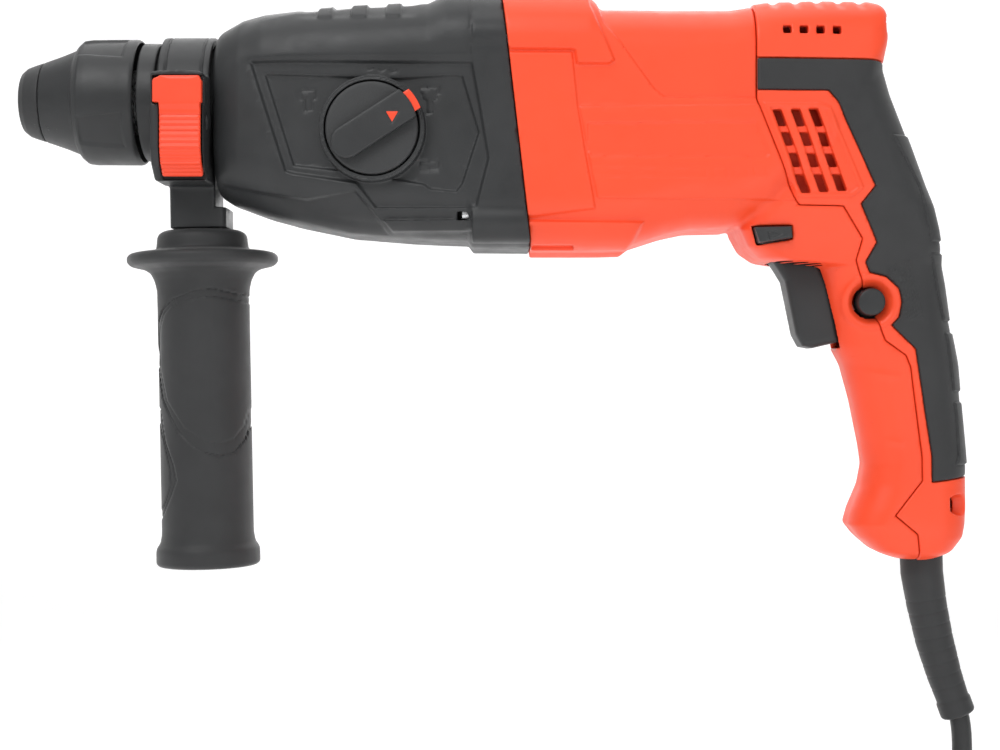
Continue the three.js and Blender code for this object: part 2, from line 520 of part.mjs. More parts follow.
function ballBearing(name, bearing, z) {
  const shape = tubeX(bearing.radius, bearing.bore, bearing.x, bearing.x + bearing.width, 0, z, 20);
  piece(motor, name, shape, FINISH.steel);
}
ballBearing('armature_front_bearing', BALL_BEARING.motorFront, MOTOR_Z);
ballBearing('armature_rear_bearing', BALL_BEARING.motorRear, MOTOR_Z);
ballBearing('countershaft_rear_bearing', BALL_BEARING.shaftRear, COUNTERSHAFT_Z);

const cupFloor = rear.x + rear.width + GAP;
piece(motor, 'brush_bridge', cut(
  join(
    rodX(rear.radius + 2.2, rear.x - 1, cupFloor + 2, 0, MOTOR_Z, 20),
    rodX(MOTOR.statorRadius - 2, rear.x - 1, rear.x + 1.4, 0, MOTOR_Z),
  ),
  rodX(rear.radius + GAP, rear.x - 2, cupFloor, 0, MOTOR_Z, 20),
  rodX(4.4, cupFloor - 1, cupFloor + 3, 0, MOTOR_Z, 12),
), FINISH.plastic);

// ---------------------------------------------------------------- housings

const body = assembly();
const caseJoint = (shift) => [
  [CASE_JOINT.topX + shift, CASE_JOINT.topZ + 20], [CASE_JOINT.topX + shift, CASE_JOINT.topZ],
  [CASE_JOINT.bottomX + shift, CASE_JOINT.bottomZ], [CASE_JOINT.bottomX + shift, -BIG],
];
const ahead = (line) => plate([...line, [-20, line.at(-1)[1]], [-20, line[0][1]]], -BIG, BIG);
const behind = (line) => plate([...line, [420, line.at(-1)[1]], [420, line[0][1]]], -BIG, BIG);
const slid = (line, shift) => line.map(([x, z]) => [x + shift, z]);

// The four long screws between gearbox and motor case: their bosses, and the holes for head and shank.
const caseScrews = [['top_left', -1, CASE_SCREW.topZ], ['top_right', 1, CASE_SCREW.topZ],
  ['bottom_left', -1, CASE_SCREW.bottomZ], ['bottom_right', 1, CASE_SCREW.bottomZ]];
const bossRadius = SCREW.headRadius + 2.6;
const caseBosses = (x0, x1) => caseScrews.map(([, side, z]) => rodX(bossRadius, x0, x1, side * CASE_SCREW.y, z, 16));
const caseHoles = caseScrews.flatMap(([, side, z]) => [
  rodX(SCREW.headRadius + 0.5, CASE_SCREW.x - 12, CASE_SCREW.x + SCREW.headHeight + GAP, side * CASE_SCREW.y, z, 14),
  rodX(SCREW.shankRadius + GAP, CASE_SCREW.x, CASE_SCREW.x + SCREW.length + 1, side * CASE_SCREW.y, z, 10),
]);

const gearboxInside = loftX(GEARBOX.map(([x, ...rest]) => [x === GEARBOX[0][0] ? x + WALL.gearbox : x, ...rest]),
  WALL.gearbox);
piece(motor, 'bearing_flange', cut(
  loftX(GEARBOX, WALL.gearbox + GAP).intersect(box(FLANGE.front, FLANGE.rear, -BIG, BIG, -BIG, BIG)),
  rodX(front.radius + GAP, front.x - GAP, FLANGE.rear + 1, 0, MOTOR_Z),
  rodX(front.bore + 2, FLANGE.front - 1, FLANGE.rear, 0, MOTOR_Z, 16),
  rodX(BALL_BEARING.shaftRear.radius + GAP, FLANGE.front - 1, BALL_BEARING.shaftRear.x + BALL_BEARING.shaftRear.width
    + GAP, 0, COUNTERSHAFT_Z),
  ...caseHoles,
), FINISH.darkSteel);
piece(motor, 'spindle_bearing', tubeX(NECK.radius - NECK.wall - GAP, SPINDLE.radius + GAP, SPINDLE.bearingFront,
  SPINDLE.bearingFront + SPINDLE.bearingLength), FINISH.steel);

const knobHole = rodY(5.4, -KNOB.face - 2, -27, KNOB.x, KNOB.z, 16);
const bearingBoss = rodX(8.4, 82, COUNTERSHAFT.front + 7.4, 0, COUNTERSHAFT_Z, 16).intersect(loftX(GEARBOX, 1));
const gearboxShell = cut(
  join(
    loftX(GEARBOX),
    rodX(NECK.radius, NECK.front, NECK.rear + 2),
    rodX(NECK.lipRadius, NECK.front, NECK.lipRear),
    rodY(KNOB.collarRadius, -38, -30, KNOB.x, KNOB.z, 28),
  ),
  gearboxInside,
  rodX(NECK.radius - NECK.wall, NECK.front - 1, NECK.rear + WALL.gearbox + 1),
  rodY(KNOB.radius + RUN, -40, -34, KNOB.x, KNOB.z, 28),
);
const countershaftHole = rodX(COUNTERSHAFT.frontRadius + GAP, COUNTERSHAFT.front - 1, COUNTERSHAFT.front + 8, 0,
  COUNTERSHAFT_Z, 16);
const gearboxBosses = caseBosses(CASE_SCREW.x - 3, FLANGE.front - GAP).map((boss) => boss.intersect(loftX(GEARBOX)));
const gearboxPart = cut(
  join(gearboxShell, bearingBoss, ...gearboxBosses).intersect(ahead(caseJoint(-GAP / 2))),
  knobHole,
  countershaftHole,
  ...caseHoles,
);
piece(body, 'gear_housing', gearboxPart, FINISH.black);

const outer = join(loftX(MOTOR_CASE), loftZ(HANDLE));
const shellInside = join(
  loftX(MOTOR_CASE.slice(0, -1), WALL.motor),
  loftZ(HANDLE.slice(1, -2), WALL.handle),
);
const cordHole = rodZ(5.4, -195, -160, 363.6, 0, 16);
const guardSeat = rodZ(9.4, -195, -177, 363.6, 0, 20);

const triggerOutline = [
  [302, -64.2], [308, -62.6], [315, -62.4], [321, -64.4], [325.4, -72], [329.6, -97], [318.4, -99.6],
  [314.4, -98.8], [311.8, -94], [307.4, -72.6], [304.6, -68],
];
const triggerSlot = join(...[[TRIGGER.travel, -1], [0.8, 0.8], [0.8, -0.8], [-0.6, 0]].map(([x, z]) =>
  plate(triggerOutline, -TRIGGER.halfWidth - RUN, TRIGGER.halfWidth + RUN).translate([x, 0, z])));
const DIRECTION_BOX = { front: 292, rear: 307, low: -58.6, high: -52.4 };
const directionSlot = box(DIRECTION_BOX.front - 0.6, DIRECTION_BOX.rear + 0.6, -40, 40, DIRECTION_BOX.low - 0.6,
  DIRECTION_BOX.high + 0.6);
const lockHole = rodY(LOCK_BUTTON.radius + RUN, -30, 0, LOCK_BUTTON.x, LOCK_BUTTON.z, 20);

const motorBosses = caseBosses(MOTOR_CASE[0][0], CASE_SCREW.x + SCREW.length + 4);
const motorPart = cut(
  join(
    cut(outer, shellInside, loftX(MOTOR_CASE.slice(0, 2), WALL.motor).translate([-5, 0, 0])),
    ...motorBosses.map((boss) => boss.intersect(outer)),
  ).intersect(behind(caseJoint(GAP / 2))).intersect(ahead(slid(SEAM, -GAP / 2))),
  ...caseHoles, triggerSlot, directionSlot, lockHole, cordHole, guardSeat,
);
const labelOutline = [[226.9, -13.2], [291.9, -12.7], [297.2, -25.2], [228.5, -26]];
const labelPocket = plate(labelOutline, -BIG, -30).intersect(loftX(MOTOR_CASE))
  .subtract(loftX(MOTOR_CASE, LABEL.thickness + GAP));
const labelShape = plate(labelOutline.map(([x, z]) => [LABEL.x + (x - LABEL.x) * LABEL.shrinkX, LABEL.z + (z - LABEL.z) * LABEL.shrinkZ]), -BIG, -30)
  .intersect(loftX(MOTOR_CASE)).subtract(loftX(MOTOR_CASE, LABEL.thickness))
  .intersect(ahead(slid(SEAM, -1.2)));
piece(body, 'motor_housing', motorPart.subtract(labelPocket), FINISH.red);
piece(body, 'label_plate', labelShape, FINISH.label);

// Slanted air slots [top x, bottom x] between two heights.
const VENTS = { top: -7.6, bottom: -38.4, columns: [[299.2, 311.4], [306.6, 318.4], [314.2, 325.6]], width: 3.6 };
const sideSlots = VENTS.columns.map(([topX, bottomX]) => plate([
  [topX, VENTS.top], [topX + VENTS.width, VENTS.top], [bottomX + VENTS.width, VENTS.bottom], [bottomX, VENTS.bottom],
], -60, 60));

const overmouldRegion = plate([...OVERMOULD_EDGE, [420, -150], [420, 12.3]], -BIG, BIG);
const overmouldClear = join(overmouldRegion, ...[[-GAP, 0, 0], [0, 0, -GAP], [0, 0, GAP]].map((move) =>
  overmouldRegion.translate(move)));
const skinInside = join(loftX(MOTOR_CASE, WALL.overmould), loftZ(HANDLE, WALL.overmould));
const coreOutside = join(loftX(MOTOR_CASE, WALL.overmould + GAP), loftZ(HANDLE, WALL.overmould + GAP));
const coreInside = join(
  loftX(MOTOR_CASE.slice(0, -1), WALL.motor + WALL.overmould),
  loftZ(HANDLE.slice(1, -2), WALL.handle + WALL.overmould),
);
const rearRegion = behind(slid(SEAM, GAP / 2));
const rearPart = cut(
  join(
    cut(outer, overmouldClear),
    coreOutside,
  ).intersect(rearRegion),
  coreInside, lockHole, cordHole, guardSeat,
  rodX(SCREW.headRadius + 0.5, COVER_SCREW.upperX - SCREW.headHeight - GAP, 360, 0, COVER_SCREW.upperZ, 16),
  rodX(SCREW.headRadius + 0.5, COVER_SCREW.lowerX - SCREW.headHeight - GAP, 390, 0, COVER_SCREW.lowerZ, 16),
  rodX(SCREW.shankRadius + GAP, 320, 360, 0, COVER_SCREW.upperZ, 12),
  rodX(SCREW.shankRadius + GAP, 355, 390, 0, COVER_SCREW.lowerZ, 12),
  ...sideSlots,
);
const overmouldPart = cut(outer.subtract(skinInside).intersect(overmouldRegion).intersect(rearRegion), ...sideSlots);
function largest(shape) {
  return shape.decompose().sort((a, b) => b.volume() - a.volume())[0];
}
piece(body, 'rear_cover', largest(rearPart), FINISH.red);
piece(body, 'rear_overmould', largest(overmouldPart), FINISH.rubber);

// ---------------------------------------------------------------- screws

const screws = assembly();
// A screw along X with its head at x, pointing to +X or -X.
function screwX(name, x, y, z, way) {
  const [headEnd, tip] = [x + way * SCREW.headHeight, x + way * SCREW.length];
  const head = rodX(SCREW.headRadius, Math.min(x, headEnd), Math.max(x, headEnd), y, z, 14);
  const shank = rodX(SCREW.shankRadius, Math.min(x + way, tip), Math.max(x + way, tip), y, z, 10);
  const recess = box(Math.min(x - way, x + way * 1.6), Math.max(x - way, x + way * 1.6), y - 0.8, y + 0.8, z - 2, z + 2);
  return piece(screws, name, join(head, shank).subtract(recess), FINISH.steel);
}

for (const [place, side, z] of caseScrews) {
  screwX(`case_screw_${place}`, CASE_SCREW.x, side * CASE_SCREW.y, z, 1);
}
screwX('cover_screw_top', COVER_SCREW.upperX, 0, COVER_SCREW.upperZ, -1);
screwX('cover_screw_bottom', COVER_SCREW.lowerX, 0, COVER_SCREW.lowerZ, -1);

// ---------------------------------------------------------------- controls

const knobGroup = assembly();
knobGroup.position.set(KNOB.x, 0, KNOB.z);
knobGroup.rotation.y = -rad(KNOB.turn);
const barHalf = KNOB.bar / 2;
const barShape = new THREE.Shape();
barShape.moveTo(KNOB.radius, -barHalf);
barShape.lineTo(KNOB.radius, barHalf);
barShape.lineTo(-KNOB.radius + barHalf + 0.6, barHalf);
barShape.absarc(-KNOB.radius + barHalf + 0.6, 0, barHalf, Math.PI / 2, 1.5 * Math.PI, false);
const buttonPocket = box(KNOB_BUTTON.inner - KNOB_BUTTON.travel - 0.4, KNOB.radius + 2, -KNOB.face - 2,
  -KNOB.face + KNOB_BUTTON.depth + GAP, -KNOB_BUTTON.half - GAP, KNOB_BUTTON.half + GAP);
piece(knobGroup, 'mode_knob', cut(
  join(
    rodY(KNOB.radius, -KNOB.disc, -KNOB.floor - GAP, 0, 0, 28),
    plate(barShape, -KNOB.face, -KNOB.disc + 0.5).intersect(rodY(KNOB.radius, -BIG, BIG, 0, 0, 28)),
    rodY(5, -KNOB.floor - 1, -26.6, 0, 0, 16),
    rodY(1.5, -27, -23.4, 2.6, 0, 10),
  ),
  buttonPocket,
), FINISH.black);
piece(knobGroup, 'mode_lock_button', box(KNOB_BUTTON.inner, KNOB_BUTTON.outer, -KNOB.face + 0.1,
  -KNOB.face + KNOB_BUTTON.depth, -KNOB_BUTTON.half, KNOB_BUTTON.half), FINISH.red);

const controls = assembly();
piece(controls, 'trigger', join(
  plate(triggerOutline, -TRIGGER.halfWidth, TRIGGER.halfWidth),
  box(TRIGGER.stemFront, TRIGGER.stemRear, -3, 3, TRIGGER.stemLow, TRIGGER.stemHigh),
), FINISH.black);
piece(controls, 'trigger_switch', cut(
  box(SWITCH.front, SWITCH.rear, -SWITCH.halfWidth, SWITCH.halfWidth, SWITCH.low, SWITCH.high),
  box(SWITCH.front - 1, TRIGGER.stemRear + TRIGGER.travel + 1, -3.5, 3.5, TRIGGER.stemLow - 0.5, TRIGGER.stemHigh + 0.5),
), FINISH.plastic);
piece(controls, 'direction_switch', box(DIRECTION_BOX.front, DIRECTION_BOX.rear, -DIRECTION.left, DIRECTION.right,
  DIRECTION_BOX.low, DIRECTION_BOX.high), FINISH.black);
piece(controls, 'lock_on_button', rodY(LOCK_BUTTON.radius, -LOCK_BUTTON.outer, -LOCK_BUTTON.outer + LOCK_BUTTON.length,
  LOCK_BUTTON.x, LOCK_BUTTON.z, 20), FINISH.black);

// ---------------------------------------------------------------- side handle

const sideHandle = assembly();
const leanGroup = new THREE.Group();
leanGroup.position.set(SIDE.pivotX, 0, SIDE.pivotZ);
leanGroup.rotation.y = -rad(SIDE.lean);
sideHandle.add(leanGroup);
const leaned = (shape) => shape.rotate([0, -SIDE.lean, 0]).translate([SIDE.pivotX, 0, SIDE.pivotZ]);
const strapOuter = SIDE.strapInner + SIDE.strapWall;
const ringInner = strapOuter + GAP;
const ringOuter = ringInner + SIDE.ringWall;
const ringFront = SIDE.x - SIDE.ringWidth / 2 - 0.4;
const ringRear = SIDE.x + SIDE.ringWidth / 2;
const half = SIDE.stemHalf;
const boltHead = { halfX: 6, halfY: 8, low: -0.5, high: 3.4 };
const releaseTravelled = RELEASE.outline.slice(6).map(([y, z]) => [y + RELEASE.travel + 0.5, z]);
const releasePocket = slabX(outlineOf([[-60, 4.9], [-60, -34.3], [-29.3, -34.3], ...releaseTravelled.slice(1),
  [-36.2 + RELEASE.travel + 0.5, 4.9]]), RELEASE.front - 0.4, RELEASE.rear + 0.4);
const releaseTopPocket = box(RELEASE.topFront - 0.4, RELEASE.topRear + 0.4, -60, -36.2 + RELEASE.travel + 0.5,
  RELEASE.split - 0.5, 4.9);
piece(sideHandle, 'handle_clamp', cut(
  join(
    rodX(ringOuter, ringFront, ringRear, 0, 0, 32),
    slabX(outlineOf(BLOCK.outline), BLOCK.front, BLOCK.rear),
    leaned(box(-half, 7.2, -half, half, -10, 8)),
    leaned(box(-half, half, -half, half, -SIDE.stemUnder, -12.9)),
    leaned(box(-half, 7.2, -half, half, -14, -9)),
  ),
  rodX(ringInner, ringFront - 3, ringRear + 1, 0, 0, 32),
  rodX(ROD_HOLE.radius, 40, 100, ROD_HOLE.y, ROD_HOLE.z, 14),
  releasePocket, releaseTopPocket,
  leaned(rodZ(SIDE.boltRadius + 0.5, -40, 0, 0, 0, 16)),
  leaned(box(-boltHead.halfX - 0.5, boltHead.halfX + 0.5, -boltHead.halfY - 0.5, boltHead.halfY + 0.5,
    boltHead.low - 0.5, boltHead.high + SIDE.boltLift + 1)),
), FINISH.black);
piece(sideHandle, 'clamp_strap', tubeX(strapOuter, SIDE.strapInner, SIDE.x - 6.5, SIDE.x + 6.5, 0, 0, 32),
  FINISH.steel);
piece(sideHandle, 'depth_release_button', join(
  slabX(outlineOf(RELEASE.outline), RELEASE.front, RELEASE.rear),
  box(RELEASE.topFront, RELEASE.topRear, -40, -36.2, RELEASE.split, 4.4),
), FINISH.red);
const bolt = join(
  rodZ(SIDE.boltRadius, -62, boltHead.low + 0.5, 0, 0, 16),
  box(-boltHead.halfX, boltHead.halfX, -boltHead.halfY, boltHead.halfY, boltHead.low, boltHead.high),
);
piece(leanGroup, 'clamp_bolt', bolt, FINISH.steel);
const bore = SIDE.boltRadius + 0.5;
piece(leanGroup, 'side_grip', turnedZ([
  [-SIDE.stemUnder - 0.5, bore], [-SIDE.stemUnder - 0.5, 14.6], [-SIDE.stemUnder - 2.4, SIDE.shoulderRadius - 0.6],
  [-SIDE.flangeUnder + 0.4, SIDE.shoulderRadius], [-SIDE.flangeUnder, 29.2], [-SIDE.flangeUnder - 1.6, SIDE.flangeRadius],
  [-SIDE.gripUnder + 2, SIDE.flangeRadius], [-SIDE.gripUnder + 0.6, 28.6], [-SIDE.gripUnder, 19.6],
  [-SIDE.gripUnder - 3, SIDE.gripRadius], [-SIDE.bottomUnder + 12, SIDE.gripRadius],
  [-SIDE.bottomUnder + 8, SIDE.flareRadius - 0.4], [-SIDE.bottomUnder + 1.6, SIDE.flareRadius],
  [-SIDE.bottomUnder, 19.4], [-SIDE.bottomUnder, 0], [-70, 0], [-70, bore],
  [-SIDE.nutUnder - SIDE.nutHeight, bore], [-SIDE.nutUnder - SIDE.nutHeight, SIDE.nutRadius + GAP],
  [-SIDE.nutUnder, SIDE.nutRadius + GAP], [-SIDE.nutUnder, bore],
], 28), FINISH.rubber);
piece(leanGroup, 'grip_nut', cut(
  rodZ(SIDE.nutRadius, -SIDE.nutUnder - SIDE.nutHeight + 0.4, -SIDE.nutUnder - 0.4, 0, 0, 6),
  rodZ(SIDE.boltRadius + GAP, -60, -30, 0, 0, 16),
), FINISH.steel);

// ---------------------------------------------------------------- cord

const cord = assembly();
function circleRing(centre, direction, radius, sides) {
  const side = new THREE.Vector3(0, 1, 0);
  const across = new THREE.Vector3().crossVectors(side, direction).normalize();
  return Array.from({ length: sides }, (_, i) => {
    const angle = 2 * Math.PI * i / sides;
    return centre.clone().addScaledVector(across, radius * Math.cos(angle))
      .addScaledVector(side, radius * Math.sin(angle)).toArray();
  });
}
const guardPoints = GUARD.path.map(([x, z]) => new THREE.Vector3(x, 0, z));
const guardCurve = new THREE.CatmullRomCurve3(guardPoints);
piece(cord, 'cord_guard', loft(guardPoints.map((point, i) =>
  circleRing(point, guardCurve.getTangent(i / (guardPoints.length - 1)), GUARD.radii[i], 16))), FINISH.rubber);

const cordSection = new THREE.Shape().absarc(0, 0, CORD.radius, 0, 2 * Math.PI, false);
const cordCurve = new THREE.CatmullRomCurve3(CORD_ROUTE.map(([x, z]) => new THREE.Vector3(x, 0, z)));
piece(cord, 'cord', solid(new THREE.ExtrudeGeometry(cordSection, {
  steps: 10, curveSegments: 5, bevelEnabled: false, extrudePath: cordCurve,
})), FINISH.rubber);

const coilX = CORD.x - COIL.middle - 2 * CORD.radius;
const coilProfile = roundedLoop(COIL.middle - COIL.half, COIL.middle + COIL.half, -COIL.half, COIL.half, 5, 1)
  .map(([radius, y]) => new THREE.Vector2(radius, y));
const coilSolid = solid(new THREE.LatheGeometry([...coilProfile, coilProfile[0]], 28)).translate([coilX, 0, COIL.z]);
piece(cord, 'cord_coil', coilSolid, FINISH.rubber);
const tieLoop = (grow) => outlineOf(roundedLoop(-COIL.half - grow, COIL.half + grow, COIL.z + COIL.middle - COIL.half
  - grow, COIL.z + COIL.middle + COIL.half + grow, 4, 1));
piece(cord, 'cord_tie', cut(
  slabX(tieLoop(1.8), coilX - COIL.tieWidth / 2, coilX + COIL.tieWidth / 2),
  slabX(tieLoop(0.5), coilX - COIL.tieWidth, coilX + COIL.tieWidth),
), FINISH.plastic);
const plugY = -COIL.layer;
const pinTop = COIL.z - PLUG.endUnder + 1;
const plugPins = [-1, 1].map((side) =>
  rodZ(PLUG.pinRadius, COIL.z - PLUG.endUnder - PLUG.pinLength, pinTop, CORD.x,
    plugY + side * PLUG.pinApart / 2, 10));
piece(cord, 'mains_plug', join(
  rodZ(PLUG.neckRadius, COIL.z - PLUG.bodyUnder - 1, COIL.z - PLUG.neckUnder, CORD.x, plugY, 14, PLUG.neckRadius - 1.4),
  rodZ(PLUG.bodyRadius, COIL.z - PLUG.endUnder, COIL.z - PLUG.bodyUnder, CORD.x, plugY, 20, PLUG.bodyRadius - 5),
  ...plugPins,
), FINISH.rubber);

export default tool;
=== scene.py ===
"""Looks of a corded rotary hammer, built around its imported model."""
import math

import bpy
import numpy as np
import openvdb
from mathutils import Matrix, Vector


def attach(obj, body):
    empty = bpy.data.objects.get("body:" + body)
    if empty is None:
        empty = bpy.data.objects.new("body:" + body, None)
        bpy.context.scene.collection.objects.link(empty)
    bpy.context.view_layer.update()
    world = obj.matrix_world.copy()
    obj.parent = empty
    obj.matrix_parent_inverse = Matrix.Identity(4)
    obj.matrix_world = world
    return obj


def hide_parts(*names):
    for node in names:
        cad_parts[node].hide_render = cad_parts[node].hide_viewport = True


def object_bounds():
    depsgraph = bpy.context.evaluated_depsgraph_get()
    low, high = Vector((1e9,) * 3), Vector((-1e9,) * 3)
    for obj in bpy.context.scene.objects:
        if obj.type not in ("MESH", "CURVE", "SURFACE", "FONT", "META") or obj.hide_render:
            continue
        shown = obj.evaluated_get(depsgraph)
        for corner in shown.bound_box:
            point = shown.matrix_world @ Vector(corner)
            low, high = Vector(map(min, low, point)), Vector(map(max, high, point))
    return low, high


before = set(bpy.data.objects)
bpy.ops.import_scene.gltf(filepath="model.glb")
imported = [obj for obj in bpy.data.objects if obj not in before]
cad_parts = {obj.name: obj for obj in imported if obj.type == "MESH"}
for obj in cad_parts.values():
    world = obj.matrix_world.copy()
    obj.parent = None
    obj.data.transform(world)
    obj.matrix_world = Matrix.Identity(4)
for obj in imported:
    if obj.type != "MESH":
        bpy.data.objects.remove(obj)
cad_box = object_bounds()

# The tool frame used below is in millimetres: x runs back from the chuck's mouth, y to the tool's right and
# z up from the spindle. The row frame has its origin in the grip.
ORIGIN = np.array([347.0, 0.0, -120.0])


def row(points):
    """Points of the tool frame, in millimetres, as points of the row frame, in metres."""
    return (np.asarray(points, float) - ORIGIN) / 1000


# ---------------------------------------------------------------- camera and lights

scene = bpy.context.scene
CAMERA_DISTANCE = 700.0
camera_data = bpy.data.cameras.new("camera")
camera_data.sensor_width = 36
camera_data.lens = 62.2
camera = bpy.data.objects.new("camera", camera_data)
camera.location = row([193.2, -CAMERA_DISTANCE, -110.2])
camera.rotation_euler = (math.pi / 2, 0, 0)
scene.collection.objects.link(camera)
scene.camera = camera


def area_light(name, place, target, width, height, power):
    """A soft rectangular light at a point of the tool frame, turned to face another."""
    data = bpy.data.lights.new(name, "AREA")
    data.shape = "RECTANGLE"
    data.size, data.size_y = width, height
    data.energy = power
    light = bpy.data.objects.new(name, data)
    start, end = Vector(row(place)), Vector(row(target))
    light.location = start
    light.rotation_euler = (end - start).to_track_quat("-Z", "Y").to_euler()
    scene.collection.objects.link(light)
    return light


MIDDLE = (190, 0, -80)
area_light("key", (-150, -750, 620), MIDDLE, 0.7, 0.5, 6)
area_light("fill", (700, -800, 60), MIDDLE, 0.5, 1.1, 1.6)
area_light("top", (190, 60, 850), MIDDLE, 1.2, 0.8, 5)
area_light("low_front", (150, -850, -420), MIDDLE, 1.2, 0.3, 0.9)
area_light("back", (250, 800, 350), MIDDLE, 1.0, 0.8, 3)

world = bpy.data.worlds.new("studio")
world.use_nodes = True
world.node_tree.nodes["Background"].inputs["Color"].default_value = (1, 1, 1, 1)
world.node_tree.nodes["Background"].inputs["Strength"].default_value = 0.5
scene.world = world
scene.view_settings.view_transform = "Standard"

# ---------------------------------------------------------------- shapes as distance fields


def rounded_box(u, v, low_u, high_u, low_v, high_v, radius):
    """Distance to a rectangle with round corners; every bound may be an array."""
    half_u, half_v = (high_u - low_u) / 2, (high_v - low_v) / 2
    corner = np.minimum(radius, np.minimum(half_u, half_v) - 0.05)
    qu = np.abs(u - (high_u + low_u) / 2) - half_u + corner
    qv = np.abs(v - (high_v + low_v) / 2) - half_v + corner
    outside = np.sqrt(np.maximum(qu, 0) ** 2 + np.maximum(qv, 0) ** 2)
    return outside + np.minimum(np.maximum(qu, qv), 0) - corner


def smooth_union(a, b, k):
    h = np.clip(0.5 + 0.5 * (b - a) / k, 0, 1)
    return b + (a - b) * h - k * h * (1 - h)


def smooth_cut(a, b, k):
    """a without b, with its new edge rounded."""
    h = np.clip(0.5 - 0.5 * (a + b) / k, 0, 1)
    return a + (-b - a) * h + k * h * (1 - h)


def smooth_meet(a, b, k):
    return smooth_cut(a, -b, k)


def smooth_step(d, width):
    """1 well inside (d below -width), 0 outside, with a smooth slope between."""
    t = np.clip(-d / width, 0, 1)
    return t * t * (3 - 2 * t)


def polygon(u, v, points):
    """Signed distance in a plane to a closed outline, negative inside."""
    p = np.asarray(points, np.float32)
    best = np.full(np.broadcast(u, v).shape, 1e9, np.float32)
    inside = np.zeros(best.shape, bool)
    for a, b in zip(p, np.roll(p, -1, axis=0)):
        e = b - a
        t = np.clip(((u - a[0]) * e[0] + (v - a[1]) * e[1]) / max(e @ e, 1e-9), 0, 1)
        best = np.minimum(best, (u - a[0] - t * e[0]) ** 2 + (v - a[1] - t * e[1]) ** 2)
        if a[1] != b[1]:
            crosses = ((a[1] <= v) != (b[1] <= v)) & (u < a[0] + (v - a[1]) * e[0] / e[1])
            inside ^= crosses
    return np.where(inside, -1, 1) * np.sqrt(best)


def line(u, v, points):
    """Distance in a plane to an open line."""
    p = np.asarray(points, np.float32)
    best = np.full(np.broadcast(u, v).shape, 1e9, np.float32)
    for a, b in zip(p[:-1], p[1:]):
        e = b - a
        t = np.clip(((u - a[0]) * e[0] + (v - a[1]) * e[1]) / max(e @ e, 1e-9), 0, 1)
        best = np.minimum(best, (u - a[0] - t * e[0]) ** 2 + (v - a[1] - t * e[1]) ** 2)
    return np.sqrt(best)


class Grid:
    """A block of sample points in the tool frame, with coordinates that broadcast against each other."""

    def __init__(self, x0, x1, y0, y1, z0, z1, step):
        self.step = step
        self.low = np.array([x0, y0, z0], float)
        self.x = np.arange(x0, x1 + step, step, dtype=np.float32)[:, None, None]
        self.y = np.arange(y0, y1 + step, step, dtype=np.float32)[None, :, None]
        self.z = np.arange(z0, z1 + step, step, dtype=np.float32)[None, None, :]

    def axes(self):
        return self.x, self.y, self.z

    def mesh(self, name, field, material, adaptivity=0.004):
        """The field's zero surface as an object with smooth shading."""
        shape = (self.x.size, self.y.size, self.z.size)
        block = np.clip(np.broadcast_to(field, shape), -3, 3).astype(np.float32)
        volume = openvdb.FloatGrid(background=3.0)
        volume.copyFromArray(np.ascontiguousarray(block))
        points, triangles, quads = volume.convertToPolygons(isovalue=0.0, adaptivity=adaptivity)
        points = row(points * self.step + self.low)
        faces = [tuple(reversed(f)) for f in triangles.tolist()] + [tuple(reversed(f)) for f in quads.tolist()]
        mesh = bpy.data.meshes.new(name)
        mesh.from_pydata(points.tolist(), [], faces)
        mesh.validate()
        return shown(name, mesh, material)


def shown(name, mesh, material):
    mesh.polygons.foreach_set("use_smooth", np.ones(len(mesh.polygons), bool))
    mesh.materials.append(material)
    mesh.update()
    obj = bpy.data.objects.new(name, mesh)
    scene.collection.objects.link(obj)
    return obj


def place(obj, body, slot, *nodes):
    """The piece rides on its body and stands for its CAD nodes; its slot is not used."""
    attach(obj, body)
    if nodes:
        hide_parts(*nodes)
    return obj

# ---------------------------------------------------------------- materials


